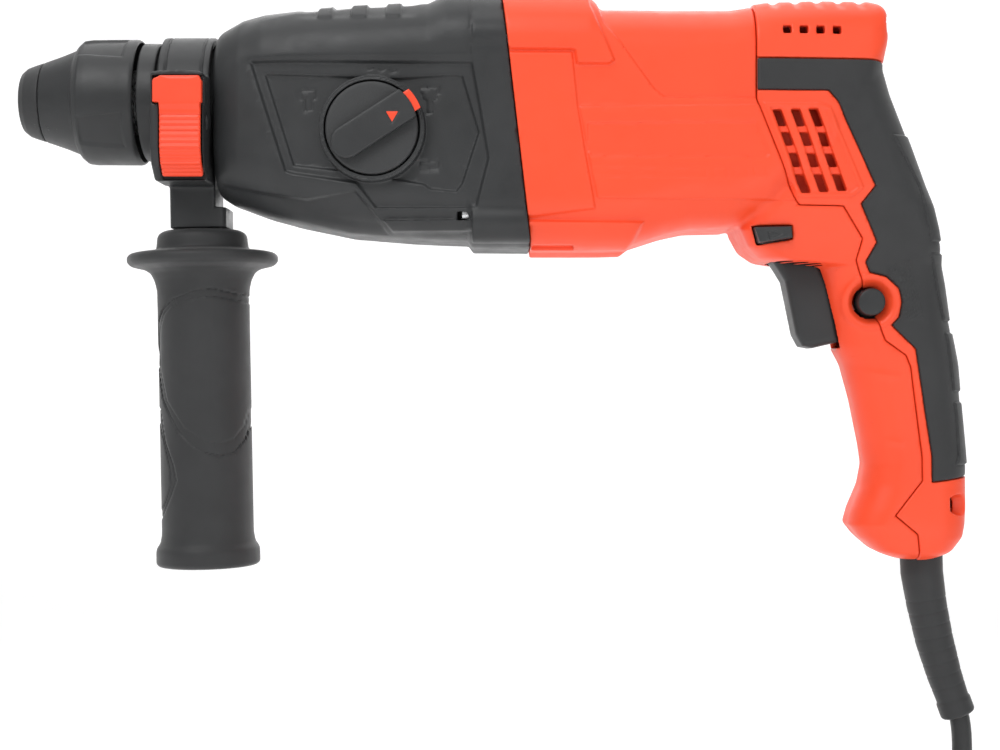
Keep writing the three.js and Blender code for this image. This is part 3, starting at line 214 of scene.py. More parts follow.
class Nodes:
    """A new material with a Principled shader, and short ways to wire its nodes."""

    def __init__(self, name, **sockets):
        self.material = bpy.data.materials.new(name)
        self.material.use_nodes = True
        self.tree = self.material.node_tree
        self.shader = self.tree.nodes["Principled BSDF"]
        self.spot = self.add("ShaderNodeTexCoord").outputs["Object"]
        for socket, value in sockets.items():
            self.shader.inputs[socket.replace("_", " ")].default_value = value

    def add(self, kind, **settings):
        node = self.tree.nodes.new(kind)
        for key, value in settings.items():
            setattr(node, key, value)
        return node

    def link(self, start, end):
        self.tree.links.new(start, end)

    def noise(self, scale, detail=3, stretch=(1, 1, 1), roughness=0.5):
        mapping = self.add("ShaderNodeMapping")
        mapping.inputs["Scale"].default_value = stretch
        self.link(self.spot, mapping.inputs["Vector"])
        node = self.add("ShaderNodeTexNoise")
        node.inputs["Scale"].default_value = scale
        node.inputs["Detail"].default_value = detail
        node.inputs["Roughness"].default_value = roughness
        self.link(mapping.outputs["Vector"], node.inputs["Vector"])
        return node.outputs["Fac"]

    def cells(self, scale):
        node = self.add("ShaderNodeTexVoronoi")
        node.inputs["Scale"].default_value = scale
        self.link(self.spot, node.inputs["Vector"])
        return node.outputs["Distance"]

    def spread(self, value, low, high):
        """A 0..1 value spread between two others."""
        node = self.add("ShaderNodeMapRange")
        node.inputs["From Min"].default_value = 0.3
        node.inputs["From Max"].default_value = 0.7
        node.inputs["To Min"].default_value = low
        node.inputs["To Max"].default_value = high
        self.link(value, node.inputs["Value"])
        return node.outputs["Result"]

    def colours(self, value, *stops):
        ramp = self.add("ShaderNodeValToRGB")
        elements = ramp.color_ramp.elements
        while len(elements) < len(stops):
            elements.new(0.5)
        for element, (position, colour) in zip(elements, stops):
            element.position = position
            element.color = (*colour, 1)
        self.link(value, ramp.inputs["Fac"])
        self.link(ramp.outputs["Color"], self.shader.inputs["Base Color"])

    def bump(self, *layers):
        """Layers of (height, strength, distance in metres), one on the other."""
        normal = None
        for height, strength, distance in layers:
            node = self.add("ShaderNodeBump")
            node.inputs["Strength"].default_value = strength
            node.inputs["Distance"].default_value = distance
            self.link(height, node.inputs["Height"])
            if normal:
                self.link(normal, node.inputs["Normal"])
            normal = node.outputs["Normal"]
        self.link(normal, self.shader.inputs["Normal"])


def shade(colour, share):
    return tuple(min(1, c * share) for c in colour)


def moulded(name, colour, rough, grain, vary=0.08, coat=0.0, grain_scale=2600, sheen=0.0):
    """Moulded plastic or rubber: spark-eroded grain, faint flow clouds and handling marks."""
    n = Nodes(name, IOR=1.45, Specular_IOR_Level=0.38, Coat_Weight=coat, Coat_Roughness=0.3,
              Sheen_Weight=sheen, Sheen_Roughness=0.5)
    clouds = n.noise(38, 4)
    n.colours(clouds, (0.3, shade(colour, 1 - vary)), (0.7, shade(colour, 1 + vary)))
    n.link(n.spread(n.noise(160, 5), rough - 0.05, rough + 0.06), n.shader.inputs["Roughness"])
    n.bump((n.noise(60, 2), 0.12, 0.0004), (n.noise(grain_scale, 2, roughness=0.6), grain, 0.00012))
    return n.material


def metal(name, colour, rough, stretch=(1, 1, 1), vary=0.12):
    """Turned or ground metal: fine tool marks across the stretch and faint staining."""
    n = Nodes(name, Metallic=1.0)
    n.colours(n.noise(90, 4), (0.3, shade(colour, 1 - vary)), (0.7, shade(colour, 1 + vary)))
    marks = n.noise(700, 3, stretch)
    n.link(n.spread(marks, rough - 0.08, rough + 0.1), n.shader.inputs["Roughness"])
    n.bump((marks, 0.15, 0.00006))
    return n.material


ALONG_X = (6, 0.6, 0.6)
RED = (0.80, 0.066, 0.020)
BLACK = (0.024, 0.025, 0.026)
LOOKS = {
    "red_housing": moulded("red_housing", RED, 0.42, 0.10, vary=0.035, coat=0.06),
    "black_housing": moulded("black_housing", BLACK, 0.42, 0.28, vary=0.14),
    # Painted highlight: a lighter copy of the black plastic for the knob's lit face. Its coarser grain and higher
    # roughness are the disc's own.
    "knob_disc_painted_highlight": moulded("knob_disc_painted_highlight", (0.03, 0.031, 0.032), 0.5, 0.6, vary=0.14, grain_scale=1500),
    "black_rubber": moulded("black_rubber", (0.023, 0.0236, 0.0245), 0.55, 0.22, vary=0.12, sheen=0.12),
    "red_button": moulded("red_button", (0.8, 0.06, 0.02), 0.38, 0.12, vary=0.04, coat=0.1),
    "grey_plastic": moulded("grey_plastic", (0.06, 0.062, 0.065), 0.5, 0.3),
    "cord_rubber": moulded("cord_rubber", (0.02, 0.0205, 0.021), 0.48, 0.2, sheen=0.1),
    "steel": metal("steel", (0.6, 0.61, 0.62), 0.28, ALONG_X),
    "dark_steel": metal("dark_steel", (0.2, 0.205, 0.21), 0.4, ALONG_X),
    "copper": metal("copper", (0.72, 0.36, 0.17), 0.34, (0.3, 9, 9)),
    "brass": metal("brass", (0.75, 0.56, 0.24), 0.32),
    "graphite": moulded("graphite", (0.02, 0.02, 0.02), 0.5, 0.3),
}


def label_material():
    """A satin film that pales from the chuck end to the handle end; the paling is a painted reflection."""
    n = Nodes("label", Coat_Weight=0.5, Coat_Roughness=0.15, IOR=1.5)
    split = n.add("ShaderNodeSeparateXYZ")
    n.link(n.spot, split.inputs["Vector"])
    # Painted reflection: the colour pales along x, from dark red at the chuck end to pink at the handle end. The
    # noise on top is the film's own mottle.
    along = n.add("ShaderNodeMapRange")
    along.inputs["From Min"].default_value = row([227, 0, 0])[0]
    along.inputs["From Max"].default_value = row([297, 0, 0])[0]
    n.link(split.outputs["X"], along.inputs["Value"])
    mottle_and_painted_reflection = n.add("ShaderNodeMath", operation="MULTIPLY_ADD")
    mottle_and_painted_reflection.inputs[1].default_value = 0.05
    n.link(n.noise(500, 5), mottle_and_painted_reflection.inputs[0])
    n.link(along.outputs["Result"], mottle_and_painted_reflection.inputs[2])
    n.colours(mottle_and_painted_reflection.outputs["Value"], (0.3, (0.56, 0.02, 0.008)), (0.8, (0.6, 0.035, 0.02)),
              (1, (0.7, 0.1, 0.07)))
    n.link(n.spread(n.noise(400, 4), 0.24, 0.34), n.shader.inputs["Roughness"])
    n.bump((n.noise(900, 3), 0.08, 0.0001))
    return n.material


LOOKS["label"] = label_material()

# ---------------------------------------------------------------- cord

CORD_RADIUS = 4.0
CORD_ROUTE = [
    [379.08, -248.12], [379.5, -249.8], [379.9, -252.4], [380.2, -255.6], [380.35, -259.2], [380.4, -263],
    [380.4, -267], [380.4, -271], [380.4, -275], [380.4, -279], [380.4, -283], [380.4, -287], [380.4, -291],
    [380.4, -295], [380.4, -299.2],
]
COIL = {"x": 324.4, "z": -331.0, "middle": 48.0}
COIL_LAYER = 8.1
# The slots that the coil's turns take, each as [radius of its centreline, y].
COIL_SLOTS = [
    (COIL["middle"] + 2 * CORD_RADIUS, 0), (COIL["middle"] + 2 * CORD_RADIUS, COIL_LAYER),
    (COIL["middle"], COIL_LAYER), (COIL["middle"] - 2 * CORD_RADIUS, COIL_LAYER),
    (COIL["middle"] - 2 * CORD_RADIUS, 0), (COIL["middle"] - 2 * CORD_RADIUS, -COIL_LAYER),
    (COIL["middle"], -COIL_LAYER), (COIL["middle"] + 2 * CORD_RADIUS, -COIL_LAYER),
]
TURN_POINTS = 40
SHIFT = 9                    # points of each turn over which the cord moves to its next slot
PLUG_TOP = COIL["z"] - 34.8

cord_points = [(x, 0, z) for x, z in CORD_ROUTE]
cord_points += [(CORD_ROUTE[-1][0], 0, z) for z in (-305, -311, -317, -323, -328)]
for turn, (radius, y) in enumerate(COIL_SLOTS):
    next_radius, next_y = COIL_SLOTS[min(turn + 1, len(COIL_SLOTS) - 1)]
    for i in range(TURN_POINTS):
        moved = max(0, (i - TURN_POINTS + SHIFT) / SHIFT)
        eased = moved * moved * (3 - 2 * moved)
        r = radius + (next_radius - radius) * eased
        angle = -2 * math.pi * i / TURN_POINTS
        cord_points.append((COIL["x"] + r * math.cos(angle), y + (next_y - y) * eased,
                            COIL["z"] + r * math.sin(angle)))
last_x = COIL["x"] + COIL_SLOTS[-1][0]
cord_points += [(last_x, -COIL_LAYER, z) for z in (-331, -338, -345, -352, -359, PLUG_TOP)]


def cord_curve(name, points, radius, material):
    curve = bpy.data.curves.new(name, "CURVE")
    curve.dimensions = "3D"
    curve.bevel_depth = radius / 1000
    curve.bevel_resolution = 5
    curve.use_fill_caps = True
    spline = curve.splines.new("POLY")
    spline.points.add(len(points) - 1)
    for point, place_ in zip(spline.points, row(points)):
        point.co = (*place_, 1)
    spline.use_smooth = True
    curve.materials.append(material)
    obj = bpy.data.objects.new(name, curve)
    scene.collection.objects.link(obj)
    return obj


lead = cord_curve("mains_lead", cord_points, CORD_RADIUS, LOOKS["cord_rubber"])
place(lead, "housing", "cord_rubber", "cord", "cord_coil")

# ---------------------------------------------------------------- the body's sections

# Upright sections [x, lowest z, highest z, half width, corner radius].
GEARBOX = [
    [80.4, -38.6, 26, 24.5, 20], [85.6, -41.8, 28.6, 27, 21], [91, -43.8, 31.4, 29, 22],
    [100, -47, 33.4, 31, 22],
    [112, -50.2, 34.4, 33, 22], [134, -54.6, 35.4, 34.6, 21], [158, -56.4, 36, 35.2, 20],
    [165, -56.7, 36.2, 35.4, 20], [172, -57, 39.4, 36, 20], [180.4, -57.2, 39.8, 36.4, 20],
    [182, -60, 39.8, 36.4, 20], [210, -60.2, 39.8, 36.6, 20],
]
MOTOR_CASE = [
    [190, -60.2, 39.8, 36.6, 20], [228, -60.2, 39.4, 36.6, 20], [233.2, -60.2, 35, 36.4, 20],
    [243.2, -60, 35, 36, 20], [258.8, -55, 34.8, 35.4, 20], [268.4, -53, 34.8, 35, 20],
    [284, -52.6, 34.8, 34.6, 19],
    [298, -48, 37, 34, 18], [318, -30, 37.6, 32.6, 16], [338, 0, 37.4, 30, 14], [345.6, 16, 35.6, 27, 9],
]
# Level sections of the handle [z, front x, back x, half width, corner radius], from the top down.
HANDLE = [
    [26, 300, 341, 27, 12], [12, 298, 344.2, 29.5, 14], [0, 298, 347.4, 31, 15],
    [-20, 299, 355.2, 31.2, 15.5],
    [-36, 300, 361.2, 30.5, 15.5], [-44, 292, 363.8, 29, 11], [-53, 287.4, 366, 27, 9],
    [-60, 291, 367.6, 25, 9],
    [-65, 297, 368.8, 23, 13], [-66.8, 320, 369.2, 22, 14], [-74, 322, 371.2, 20.5, 15],
    [-90, 325.4, 373.8, 19.4, 15.5], [-99, 327, 375.8, 18.8, 15.5], [-106, 330.6, 377.2, 18.4, 15.5],
    [-120, 334.4, 378.4, 17.8, 15], [-138, 338, 380.2, 17.4, 15], [-146, 339.2, 380.8, 17.6, 15],
    [-154, 337.8, 380.6, 18, 15], [-164, 333.8, 380.4, 19, 15], [-170, 332.4, 379.8, 19.2, 14],
    [-175, 336.4, 378.8, 18.6, 13], [-181, 343.4, 374.2, 17, 11], [-184.4, 350.4, 368, 14, 8],
]
CASE_JOINT = [(193.6, 39.8), (205.2, -60.2)]
# Side view of the seam between motor case and rear cover, from the top down.
SEAM = [
    [292.3, 60], [292.3, -3.8], [307.3, -40.9], [309.6, -44], [326.8, -44.4], [334.9, -56.8], [333, -64.9],
    [336.7, -76], [339.4, -81.4], [341.5, -87.2], [345.4, -96.6], [353.6, -102.4], [355.5, -107.1],
    [360.2, -142.5],
    [360.2, -152.2], [349.3, -165.8], [358.2, -173.2], [359.4, -181], [359.4, -200],
]
OVERMOULD = [
    [292.3, 12.3], [292.3, 0], [320.3, 0], [324.1, -4.2], [339, -36.7], [333.7, -43.6], [340.6, -58.2],
    [336.8, -65.7], [338.7, -69.9], [345, -71.4], [350.4, -76], [351.6, -81.4], [350.6, -87.4],
    [347.7, -90.5],
    [357.4, -99.9], [364.1, -142.5], [364.1, -152.6], [382, -150.4], [420, -150], [420, 12.3],
]
GAP = 0.3
GUARD_SOCKET = {"x": 363.6, "radius": 9, "top": -177.5}


def sections(table, at, soften=1.2):
    """The table's columns at the places asked for, with the creases between its rows softened."""
    rows = np.array(sorted(table), float)
    fine = np.arange(rows[0, 0] - 12, rows[-1, 0] + 12, 0.2)
    count = int(soften / 0.2) * 2 + 1
    kernel = np.hanning(count + 2)[1:-1]
    kernel /= kernel.sum()
    columns = []
    for column in rows.T[1:]:
        values = np.pad(np.interp(fine, rows[:, 0], column), count // 2, "edge")
        columns.append(np.interp(at, fine, np.convolve(values, kernel, "valid")).astype(np.float32))
    return columns


def gearbox_field(x, y, z):
    low, high, half, corner = sections(GEARBOX, x)
    return rounded_box(y, z, -half, half, low, high, corner)


def motor_field(x, y, z):
    low, high, half, corner = sections(MOTOR_CASE, x)
    case = smooth_meet(rounded_box(y, z, -half, half, low, high, corner), x - 345.6, 5)
    front, back, wide, corner = sections(HANDLE, z, 1.6)
    handle = rounded_box(x, y, front, back, -wide, wide, corner)
    handle = smooth_meet(handle, np.maximum(z - 26, -184.4 - z), 5)
    return smooth_union(case, handle, 4)


def past_joint(x, z):
    """How far behind the joint between gearbox and motor case a point lies."""
    (x0, z0), (x1, z1) = CASE_JOINT
    length = math.hypot(x1 - x0, z1 - z0)
    return ((x - x0) * (z0 - z1) - (z - z0) * (x0 - x1)) / length


def raised(x, z, outline, height, slope):
    """A height over the side faces: an outline seen from the side, with sloping edges."""
    return height * smooth_step(polygon(x, z, outline), slope)


def carve(d, width_field, depth):
    """The surface sunk by a depth where width_field is negative."""
    return np.maximum(d, np.minimum(-width_field, d + depth))


def cylinder_x(y, z, centre_y, centre_z, radius):
    return np.sqrt((y - centre_y) ** 2 + (z - centre_z) ** 2) - radius


def cylinder_y(x, z, centre_x, centre_z, radius):
    return np.sqrt((x - centre_x) ** 2 + (z - centre_z) ** 2) - radius


# ---------------------------------------------------------------- gearbox

NECK = {"radius": 21.5, "lip": 23.6, "wall": 3}
KNOB = {"x": 144, "z": -15.4, "radius": 17.8, "collar": 20.4, "face": 43}
KNOB_TURN = math.radians(32.7)
GEAR_OUTER = [(95.4, 11.9), (182.9, 10.7), (186.5, -8.9), (189.5, -26.7), (184.5, -46.4), (144.8, -46.1),
              (137.4, -36.7), (113.0, -33.0), (109.6, -31.9)]
GEAR_INNER = [(101.5, 6.8), (134.4, 5.3), (153.3, 4.5), (173.7, 5.7), (179.0, 5.3), (185.5, -16.7),
              (179.2, -36.3),
              (176.6, -40.0), (166.3, -38.9), (163.3, -36.9), (128.9, -31.3), (113.0, -29.5)]
GEAR_CHIN = [(80, -34.5), (100, -38.6), (118.2, -41.5), (137.4, -38.6), (144.8, -47.1), (150.7, -56.3),
             (152.2, -70),
             (80, -70)]
GEAR_RAIL = [(147.0, -49.7), (182.6, -49.7), (182.6, -54.5), (177.4, -54.8), (151.1, -54.8)]
TOP_RIBS = [(121.6, 128.6), (134.8, 142.1), (148.4, 155.3)]
HAMMER_MARK = [(116.2, 0.1), (121.4, 0.1), (121.4, -3.2), (120.3, -3.4), (120.3, -7.7), (117.4, -7.7),
               (117.4, -3.4),
               (116.2, -3.2)]
BOTH_MARK = [(162.2, 0.8), (169.6, 0.8), (169.6, -1.4), (168.7, -1.5), (168.7, -3.6), (167.1, -4.3),
             (167.1, -8.9),
             (164.7, -8.9), (164.7, -4.3), (163.1, -3.6), (163.1, -1.5), (162.2, -1.4)]
DRILL_MARK = [(161.9, -27.7), (169.2, -27.7), (169.2, -30.3), (161.9, -30.3)]
CASE_SCREWS = {"x": 178.6, "y": 28.6, "top": 20.4, "bottom": -47.6}


def gear_housing():
    g = Grid(48, 206, -40, 40, -63, 42, 0.5)
    x, y, z = g.axes()
    flat = np.minimum(1, np.maximum(0, (np.abs(y) - 18) / 6))
    height = raised(x, z, GEAR_OUTER, -1.6, 1.5) + raised(x, z, GEAR_INNER, -1.2, 0.9)
    height = height + raised(x, z, GEAR_CHIN, -1.6, 1.1) + raised(x, z, GEAR_RAIL, 1.3, 0.8)
    d = gearbox_field(x, y, z) + 0.2
    hood = smooth_step(11 - z + 0 * x, 2.5) * smooth_step(x - 183, 2) * smooth_step(90 - x, 14) * 0.8
    rib_band = smooth_step(27.5 - z, 2.5)
    ribs = sum(smooth_step(np.maximum(a - x, x - b), 1.1) for a, b in TOP_RIBS)
    valley = smooth_step(np.maximum(113 - x, x - 163), 5)
    d = d - height * flat - hood * flat - (1.1 * ribs - 0.5 * valley) * rib_band
    # Bosses round the case screws.
    for centre_y in (-1, 1):
        for centre_z, radius in ((21.4, 9.6), (-50.4, 8.6)):
            boss = cylinder_x(y, z, centre_y * 27.8, centre_z, radius)
            boss = smooth_meet(boss, 182.4 - x, 0.8)
            d = smooth_union(d, boss, 1.2)
            head = cylinder_x(y, z, centre_y * CASE_SCREWS["y"],
                              CASE_SCREWS["top"] if centre_z > 0 else CASE_SCREWS["bottom"], 4.4)
            d = smooth_cut(d, np.maximum(head, np.abs(x - 179.4) - 2.6), 0.5)
    # Neck, lip and shoulder.
    neck = np.maximum(cylinder_x(y, z, 0, 0, NECK["radius"]), 51 - x)
    lip = smooth_meet(cylinder_x(y, z, 0, 0, NECK["lip"]), np.abs(x - 53.9) - 3.7, 1)
    d = smooth_meet(d, 80.6 - x, 3)
    d = smooth_union(d, neck, 2.5)
    d = np.minimum(d, lip)
    # Collar that the mode knob sits in, on the left.
    ring = cylinder_y(x, z, KNOB["x"], KNOB["z"], KNOB["collar"])
    collar = smooth_meet(ring, -37.6 - y, 0.7)
    collar = np.maximum(collar, y + 25)
    d = smooth_union(d, collar, 0.6)
    well = np.maximum(cylinder_y(x, z, KNOB["x"], KNOB["z"], KNOB["radius"] + 0.6), y + 34)
    d = smooth_cut(d, well, 0.4)
    groove = np.maximum(np.abs(ring + 1.0) - 0.25, np.abs(y + 37.6) - 0.5)
    d = np.maximum(d, -groove)
    # Marks of the three modes beside the knob.
    for outline in (HAMMER_MARK, BOTH_MARK, DRILL_MARK):
        edge = np.abs(polygon(x, z, outline)) - 0.28
        d = carve(d, np.maximum(edge, y + 20), 0.45)
    for centre_x, centre_z in ((142.9, 8.2), (147.3, 7.7), (151.6, 7.2)):
        moon = np.maximum(np.abs(cylinder_y(x, z, centre_x, centre_z + 1.2, 1.7)) - 0.3, z - centre_z - 0.6)
        d = carve(d, np.maximum(moon, y + 20), 0.4)
    d = np.maximum(d, past_joint(x, z) + GAP / 2)
    # Hollow inside, left solid round the screws.
    inside = np.maximum(gearbox_field(x, y, z) + 5.0, 84 - x)
    for centre_z in (CASE_SCREWS["top"], CASE_SCREWS["bottom"]):
        post = cylinder_x(np.abs(y), z, CASE_SCREWS["y"], centre_z, 7.5)
        inside = np.maximum(inside, -np.maximum(post, 172 - x))
    inside = np.minimum(inside, cylinder_x(y, z, 0, 0, NECK["radius"] - NECK["wall"]))
    d = np.maximum(d, -inside)
    hole = cylinder_y(x, z, KNOB["x"], KNOB["z"], 5.4)
    d = np.maximum(d, -np.maximum(hole, y + 27))
    skin = g.mesh("gear_housing_skin", d, LOOKS["black_housing"])
    return place(skin, "housing", "black_housing", "gear_housing")


gear_housing()

# ---------------------------------------------------------------- motor housing

TOP_BOSS = [(180, 60), (226.5, 60), (228.6, 33), (232.1, 24.3), (237.9, 10.6), (235.0, 8.7), (222.2, 8.7),
            (221.3, 14.2), (180, 14.7)]
COLLAR = [(180, 14.7), (221.3, 14.2), (223.4, -6.6), (226.6, -26.0), (230.3, -46.5), (203.8, -49.7),
          (180, -49.7)]
LOW_BOSS = [(180, -49.7), (249.8, -50.2), (246.0, -58.9), (240.6, -66), (180, -66)]
UPPER_PANEL = [(239.5, 17.4), (252.4, -0.3), (256.6, -3.5), (310, -3.7), (310, 60), (225, 60), (233, 26)]
SIDE_PANEL = [(223.2, -6.6), (310, -5.3), (310, -42.6), (230.5, -42.6)]
STRIPS = [
    [(228.0, -30.6), (272.6, -30.6), (272.6, -33.9), (229.2, -33.9)],
    [(275.3, -30.3), (280.3, -30.3), (281.1, -33.7), (276.1, -33.7)],
    [(283.0, -30.3), (288.1, -30.3), (288.8, -33.7), (283.8, -33.7)],
    [(291.0, -30.3), (295.8, -30.3), (296.6, -33.7), (291.7, -33.7)],
]
LABEL = [(226.9, -13.2), (291.9, -12.7), (297.2, -25.2), (295.8, -26), (228.5, -26), (226.9, -24.1)]
TRIGGER = [(302, -64.2), (308, -62.6), (315, -62.4), (321, -64.4), (325.4, -72), (329.6, -97), (318.4, -99.6),
           (314.4, -98.8), (311.8, -94), (307.4, -72.6), (304.6, -68)]
TRIGGER_HALF = 8.5
LOCK = {"x": 339.4, "z": -81.4, "radius": 5.4}
RIDGES = [[(337, -109.2), (350, -110.8)], [(341, -135.5), (352, -137.2)]]
SWITCH_SLOT = [(291.5, -52.0), (307.2, -51.7), (307.7, -57.2), (293.8, -59.4)]


def lock_ring(x, z, y):
    """The raised ring and bowl round the lock-on button, as a height on the left side."""
    r = np.sqrt((x - LOCK["x"]) ** 2 + (z - LOCK["z"]) ** 2)
    radii = [0, 6.1, 6.6, 8.6, 9.8, 10.8, 11.7, 12.6]
    height = np.interp(r, radii, [-3.2, -3.2, -2.4, 0.1, 0.75, 0.75, 0.1, 0])
    return height.astype(np.float32) * (y < 0)


def rear_side(x, z):
    """Distance to the rear cover's side of the seam, negative in it."""
    return polygon(x, z, SEAM + [[520, -200], [520, 60]])


def guard_socket(x, y, z):
    """Room for the cord guard in the foot of the handle."""
    round_ = np.sqrt((x - GUARD_SOCKET["x"]) ** 2 + y ** 2) - GUARD_SOCKET["radius"]
    return np.maximum(round_, z - GUARD_SOCKET["top"])


def motor_housing():
    g = Grid(189, 366, -40, 40, -188, 43, 0.5)
    x, y, z = g.axes()
    flat = np.minimum(1, np.maximum(0, (np.abs(y) - 14) / 6))
    outer = motor_field(x, y, z)
    height = raised(x, z, TOP_BOSS, 2.0, 1.3) + raised(x, z, COLLAR, 1.1, 0.9)
    height = height + raised(x, z, LOW_BOSS, 2.0, 1.8)
    height = height - raised(x, z, UPPER_PANEL, 1.0, 0.6) + raised(x, z, SIDE_PANEL, 0.7, 0.7)
    for outline in STRIPS:
        edge = np.abs(polygon(x, z, outline)) - 0.1
        height = height + 0.28 * smooth_step(edge - 0.35, 0.5)
    for ridge in RIDGES:
        height = height + 0.55 * smooth_step(line(x, z, ridge) - 2.4, 2.4)
    d = outer + 0.55 - height * flat - lock_ring(x, z, y)
    recess = np.maximum(polygon(x, z, LABEL), y + 25)
    d = carve(d, recess, 0.55)
    slot = rounded_box(x, z, 205.6, 222, -64, -59.4, 0.8)
    d = carve(d, np.maximum(slot, y + 20), 2.2)
    d = np.maximum(d, GAP / 2 - past_joint(x, z))
    seam = rear_side(x, z)
    d = smooth_meet(d, 0.12 - seam, 0.7)
    inside = motor_field(x, y, z) + 3.2
    d = np.maximum(d, -inside)
    trigger = polygon(x, z, TRIGGER)
    for forward in (7.2, 3.6):
        trigger = np.minimum(trigger, polygon(x - forward, z, TRIGGER))
    d = smooth_cut(d, np.maximum(trigger - 0.5, np.abs(y) - TRIGGER_HALF - 0.6), 0.4)
    d = smooth_cut(d, polygon(x, z, SWITCH_SLOT) + 0 * y, 0.5)
    d = smooth_cut(d, np.maximum(cylinder_y(x, z, LOCK["x"], LOCK["z"], LOCK["radius"] + 0.45), y), 0.4)
    d = np.maximum(d, -guard_socket(x, y, z))
    skin = g.mesh("motor_housing_skin", d, LOOKS["red_housing"])
    return place(skin, "housing", "red_housing", "motor_housing")


motor_housing()


def label_plate():
    g = Grid(224, 300, -39, -30, -29, -10, 0.35)
    x, y, z = g.axes()
    outer = motor_field(x, y, z) + 0.2
    outline = polygon(x, z, LABEL) + 0.35
    d = np.maximum(smooth_meet(outer + 0.25, outline, 0.3), -(outer + 0.9))
    return place(g.mesh("label_film", d, LOOKS["label"], 0.001), "housing", "label", "label_plate")


label_plate()

# ---------------------------------------------------------------- rear cover and its soft overmould

VENT_FRAME = [(294.3, -4.7), (317.2, -4.7), (321.3, -6.4), (334.7, -37.8), (329.8, -41.7), (308.4, -41.7)]
VENTS = [
    [(298.7, -7.9), (301.6, -7.9), (313.6, -39.2), (310.4, -39.2)],
    [(305.8, -7.7), (308.9, -7.7), (320.6, -38.8), (317.4, -38.8)],
    [(312.8, -7.5), (315.9, -7.5), (327.6, -38.4), (324.4, -38.4)],
]
VENT_BARS = [(-15.2, 1.3), (-22.8, 1.5), (-30.6, 1.5)]
TOP_VENTS = [304.2, 310.7, 317.2, 323.7]
KNURL_VALLEYS = [300.6, 309.4, 317.8, 326.2, 334.6]
PADS = [
    [(345.2, -16.5), (347.7, -20.8), (356.5, -36.5), (360.9, -54.6), (361.9, -58.0), (380, -57.5),
    (372, -15)],
    [(361.6, -62.2), (363.4, -65.8), (368.7, -88.8), (390, -89.6), (384, -61.4)],
    [(369.4, -93.2), (370.7, -97.1), (373.1, -116.9), (392, -117.6), (388, -92.8)],
    [(373.4, -120.8), (374.3, -126.5), (375.1, -143.1), (373.6, -146), (396, -146.4), (392, -120.6)],
]
HATCH = [((345.4 + 1.17 * i, -68.3 + 0.56 * i), (352.7 + 1.03 * i, -88.6 + 0.11 * i)) for i in range(8)]
COVER_SCREW = {"upper_z": 27, "lower_z": -161}


def rear_body(x, y, z):
    """The rear cover's outer surface, without the overmould's own relief."""
    d = motor_field(x, y, z)
    crown = smooth_step(31.5 - z, 3)
    for valley in KNURL_VALLEYS:
        d = d + 0.9 * smooth_step(np.abs(x - valley) - 2.6, 2.2) * crown
    return d


def vent_depth(z):
    depth = np.full(z.shape, 30.0, np.float32)
    for centre, half in VENT_BARS:
        depth = np.where(np.abs(z - centre) < half, 1.9, depth)
    return depth


def rear_cover():
    g = Grid(290, 384, -38, 38, -188, 43, 0.5)
    x, y, z = g.axes()
    flat = np.minimum(1, np.maximum(0, (np.abs(y) - 12) / 6))
    outer = rear_body(x, y, z)
    frame_height = 0.7 * smooth_step(np.abs(polygon(x, z, VENT_FRAME) + 1.2) - 1.2, 0.7)
    d = outer + 0.3 - frame_height * flat - lock_ring(x, z, y)
    soft = polygon(x, z, OVERMOULD)
    d = carve(d, soft - GAP + 0 * y, 2.2)
    seam = rear_side(x, z)
    d = smooth_meet(d, seam + 0.12, 0.7)
    for outline in VENTS:
        d = carve(d, polygon(x, z, outline) - 0.3 + 0 * y, vent_depth(z))
    for centre in TOP_VENTS:
        hole = rounded_box(x, z, centre - 1.7, centre + 1.7, 21.9, 25, 0.3) + 0 * y
        d = carve(d, hole, 30)
    inside = motor_field(x, y, z) + 5.2
    d = np.maximum(d, -inside)
    # Baffles behind the vents, so that the studio doesn't show through them.
    behind_vents = np.maximum(outer + 3, rounded_box(x, z, 297, 330, -44, -5, 1))
    baffle = np.maximum(np.abs(np.abs(y) - 20) - 0.7, behind_vents)
    d = np.minimum(d, baffle)
    for centre_y, centre_z, front, radius in (
        (0, COVER_SCREW["upper_z"], 338.6, 3.9), (-21.5, 26.4, 337.6, 4.2), (21.5, 26.4, 337.6, 4.2),
        (0, COVER_SCREW["lower_z"], 372.7, 3.9), (-13.6, -161.8, 371.2, 4.3), (13.6, -161.8, 371.2, 4.3),
    ):
        d = smooth_cut(d, np.maximum(cylinder_x(y, z, centre_y, centre_z, radius), front - x), 0.5)
    d = smooth_cut(d, np.maximum(cylinder_y(x, z, LOCK["x"], LOCK["z"], LOCK["radius"] + 0.45), y), 0.4)
    d = np.maximum(d, -guard_socket(x, y, z))
    return place(g.mesh("rear_cover_skin", d, LOOKS["red_housing"]), "housing", "red_housing", "rear_cover")


def rear_overmould():
    g = Grid(290, 385, -38, 38, -156, 16, 0.45)
    x, y, z = g.axes()
    outer = rear_body(x, y, z)
    height = 0.1 + 0 * outer
    for pad in PADS:
        outline = polygon(x, z, pad)
        height = height + 0.75 * smooth_step(outline, 0.9) - 0.3 * smooth_step(np.abs(outline) - 0.35, 0.4)
    lines = np.min([line(x, z, pair) for pair in HATCH], axis=0)
    height = height + 0.4 * smooth_step(lines - 0.3, 0.3)
    d = outer - height + 0.45
    soft = polygon(x, z, OVERMOULD)
    d = smooth_meet(d, soft + 0.1, 0.9)
    seam = rear_side(x, z)
    d = smooth_meet(d, seam + 0.12, 0.7)
    d = np.maximum(d, -(outer + 1.9))
    return place(g.mesh("rear_overmould_skin", d, LOOKS["black_rubber"]), "housing", "black_rubber",
                 "rear_overmould")


rear_cover()
rear_overmould()

# ---------------------------------------------------------------- chuck

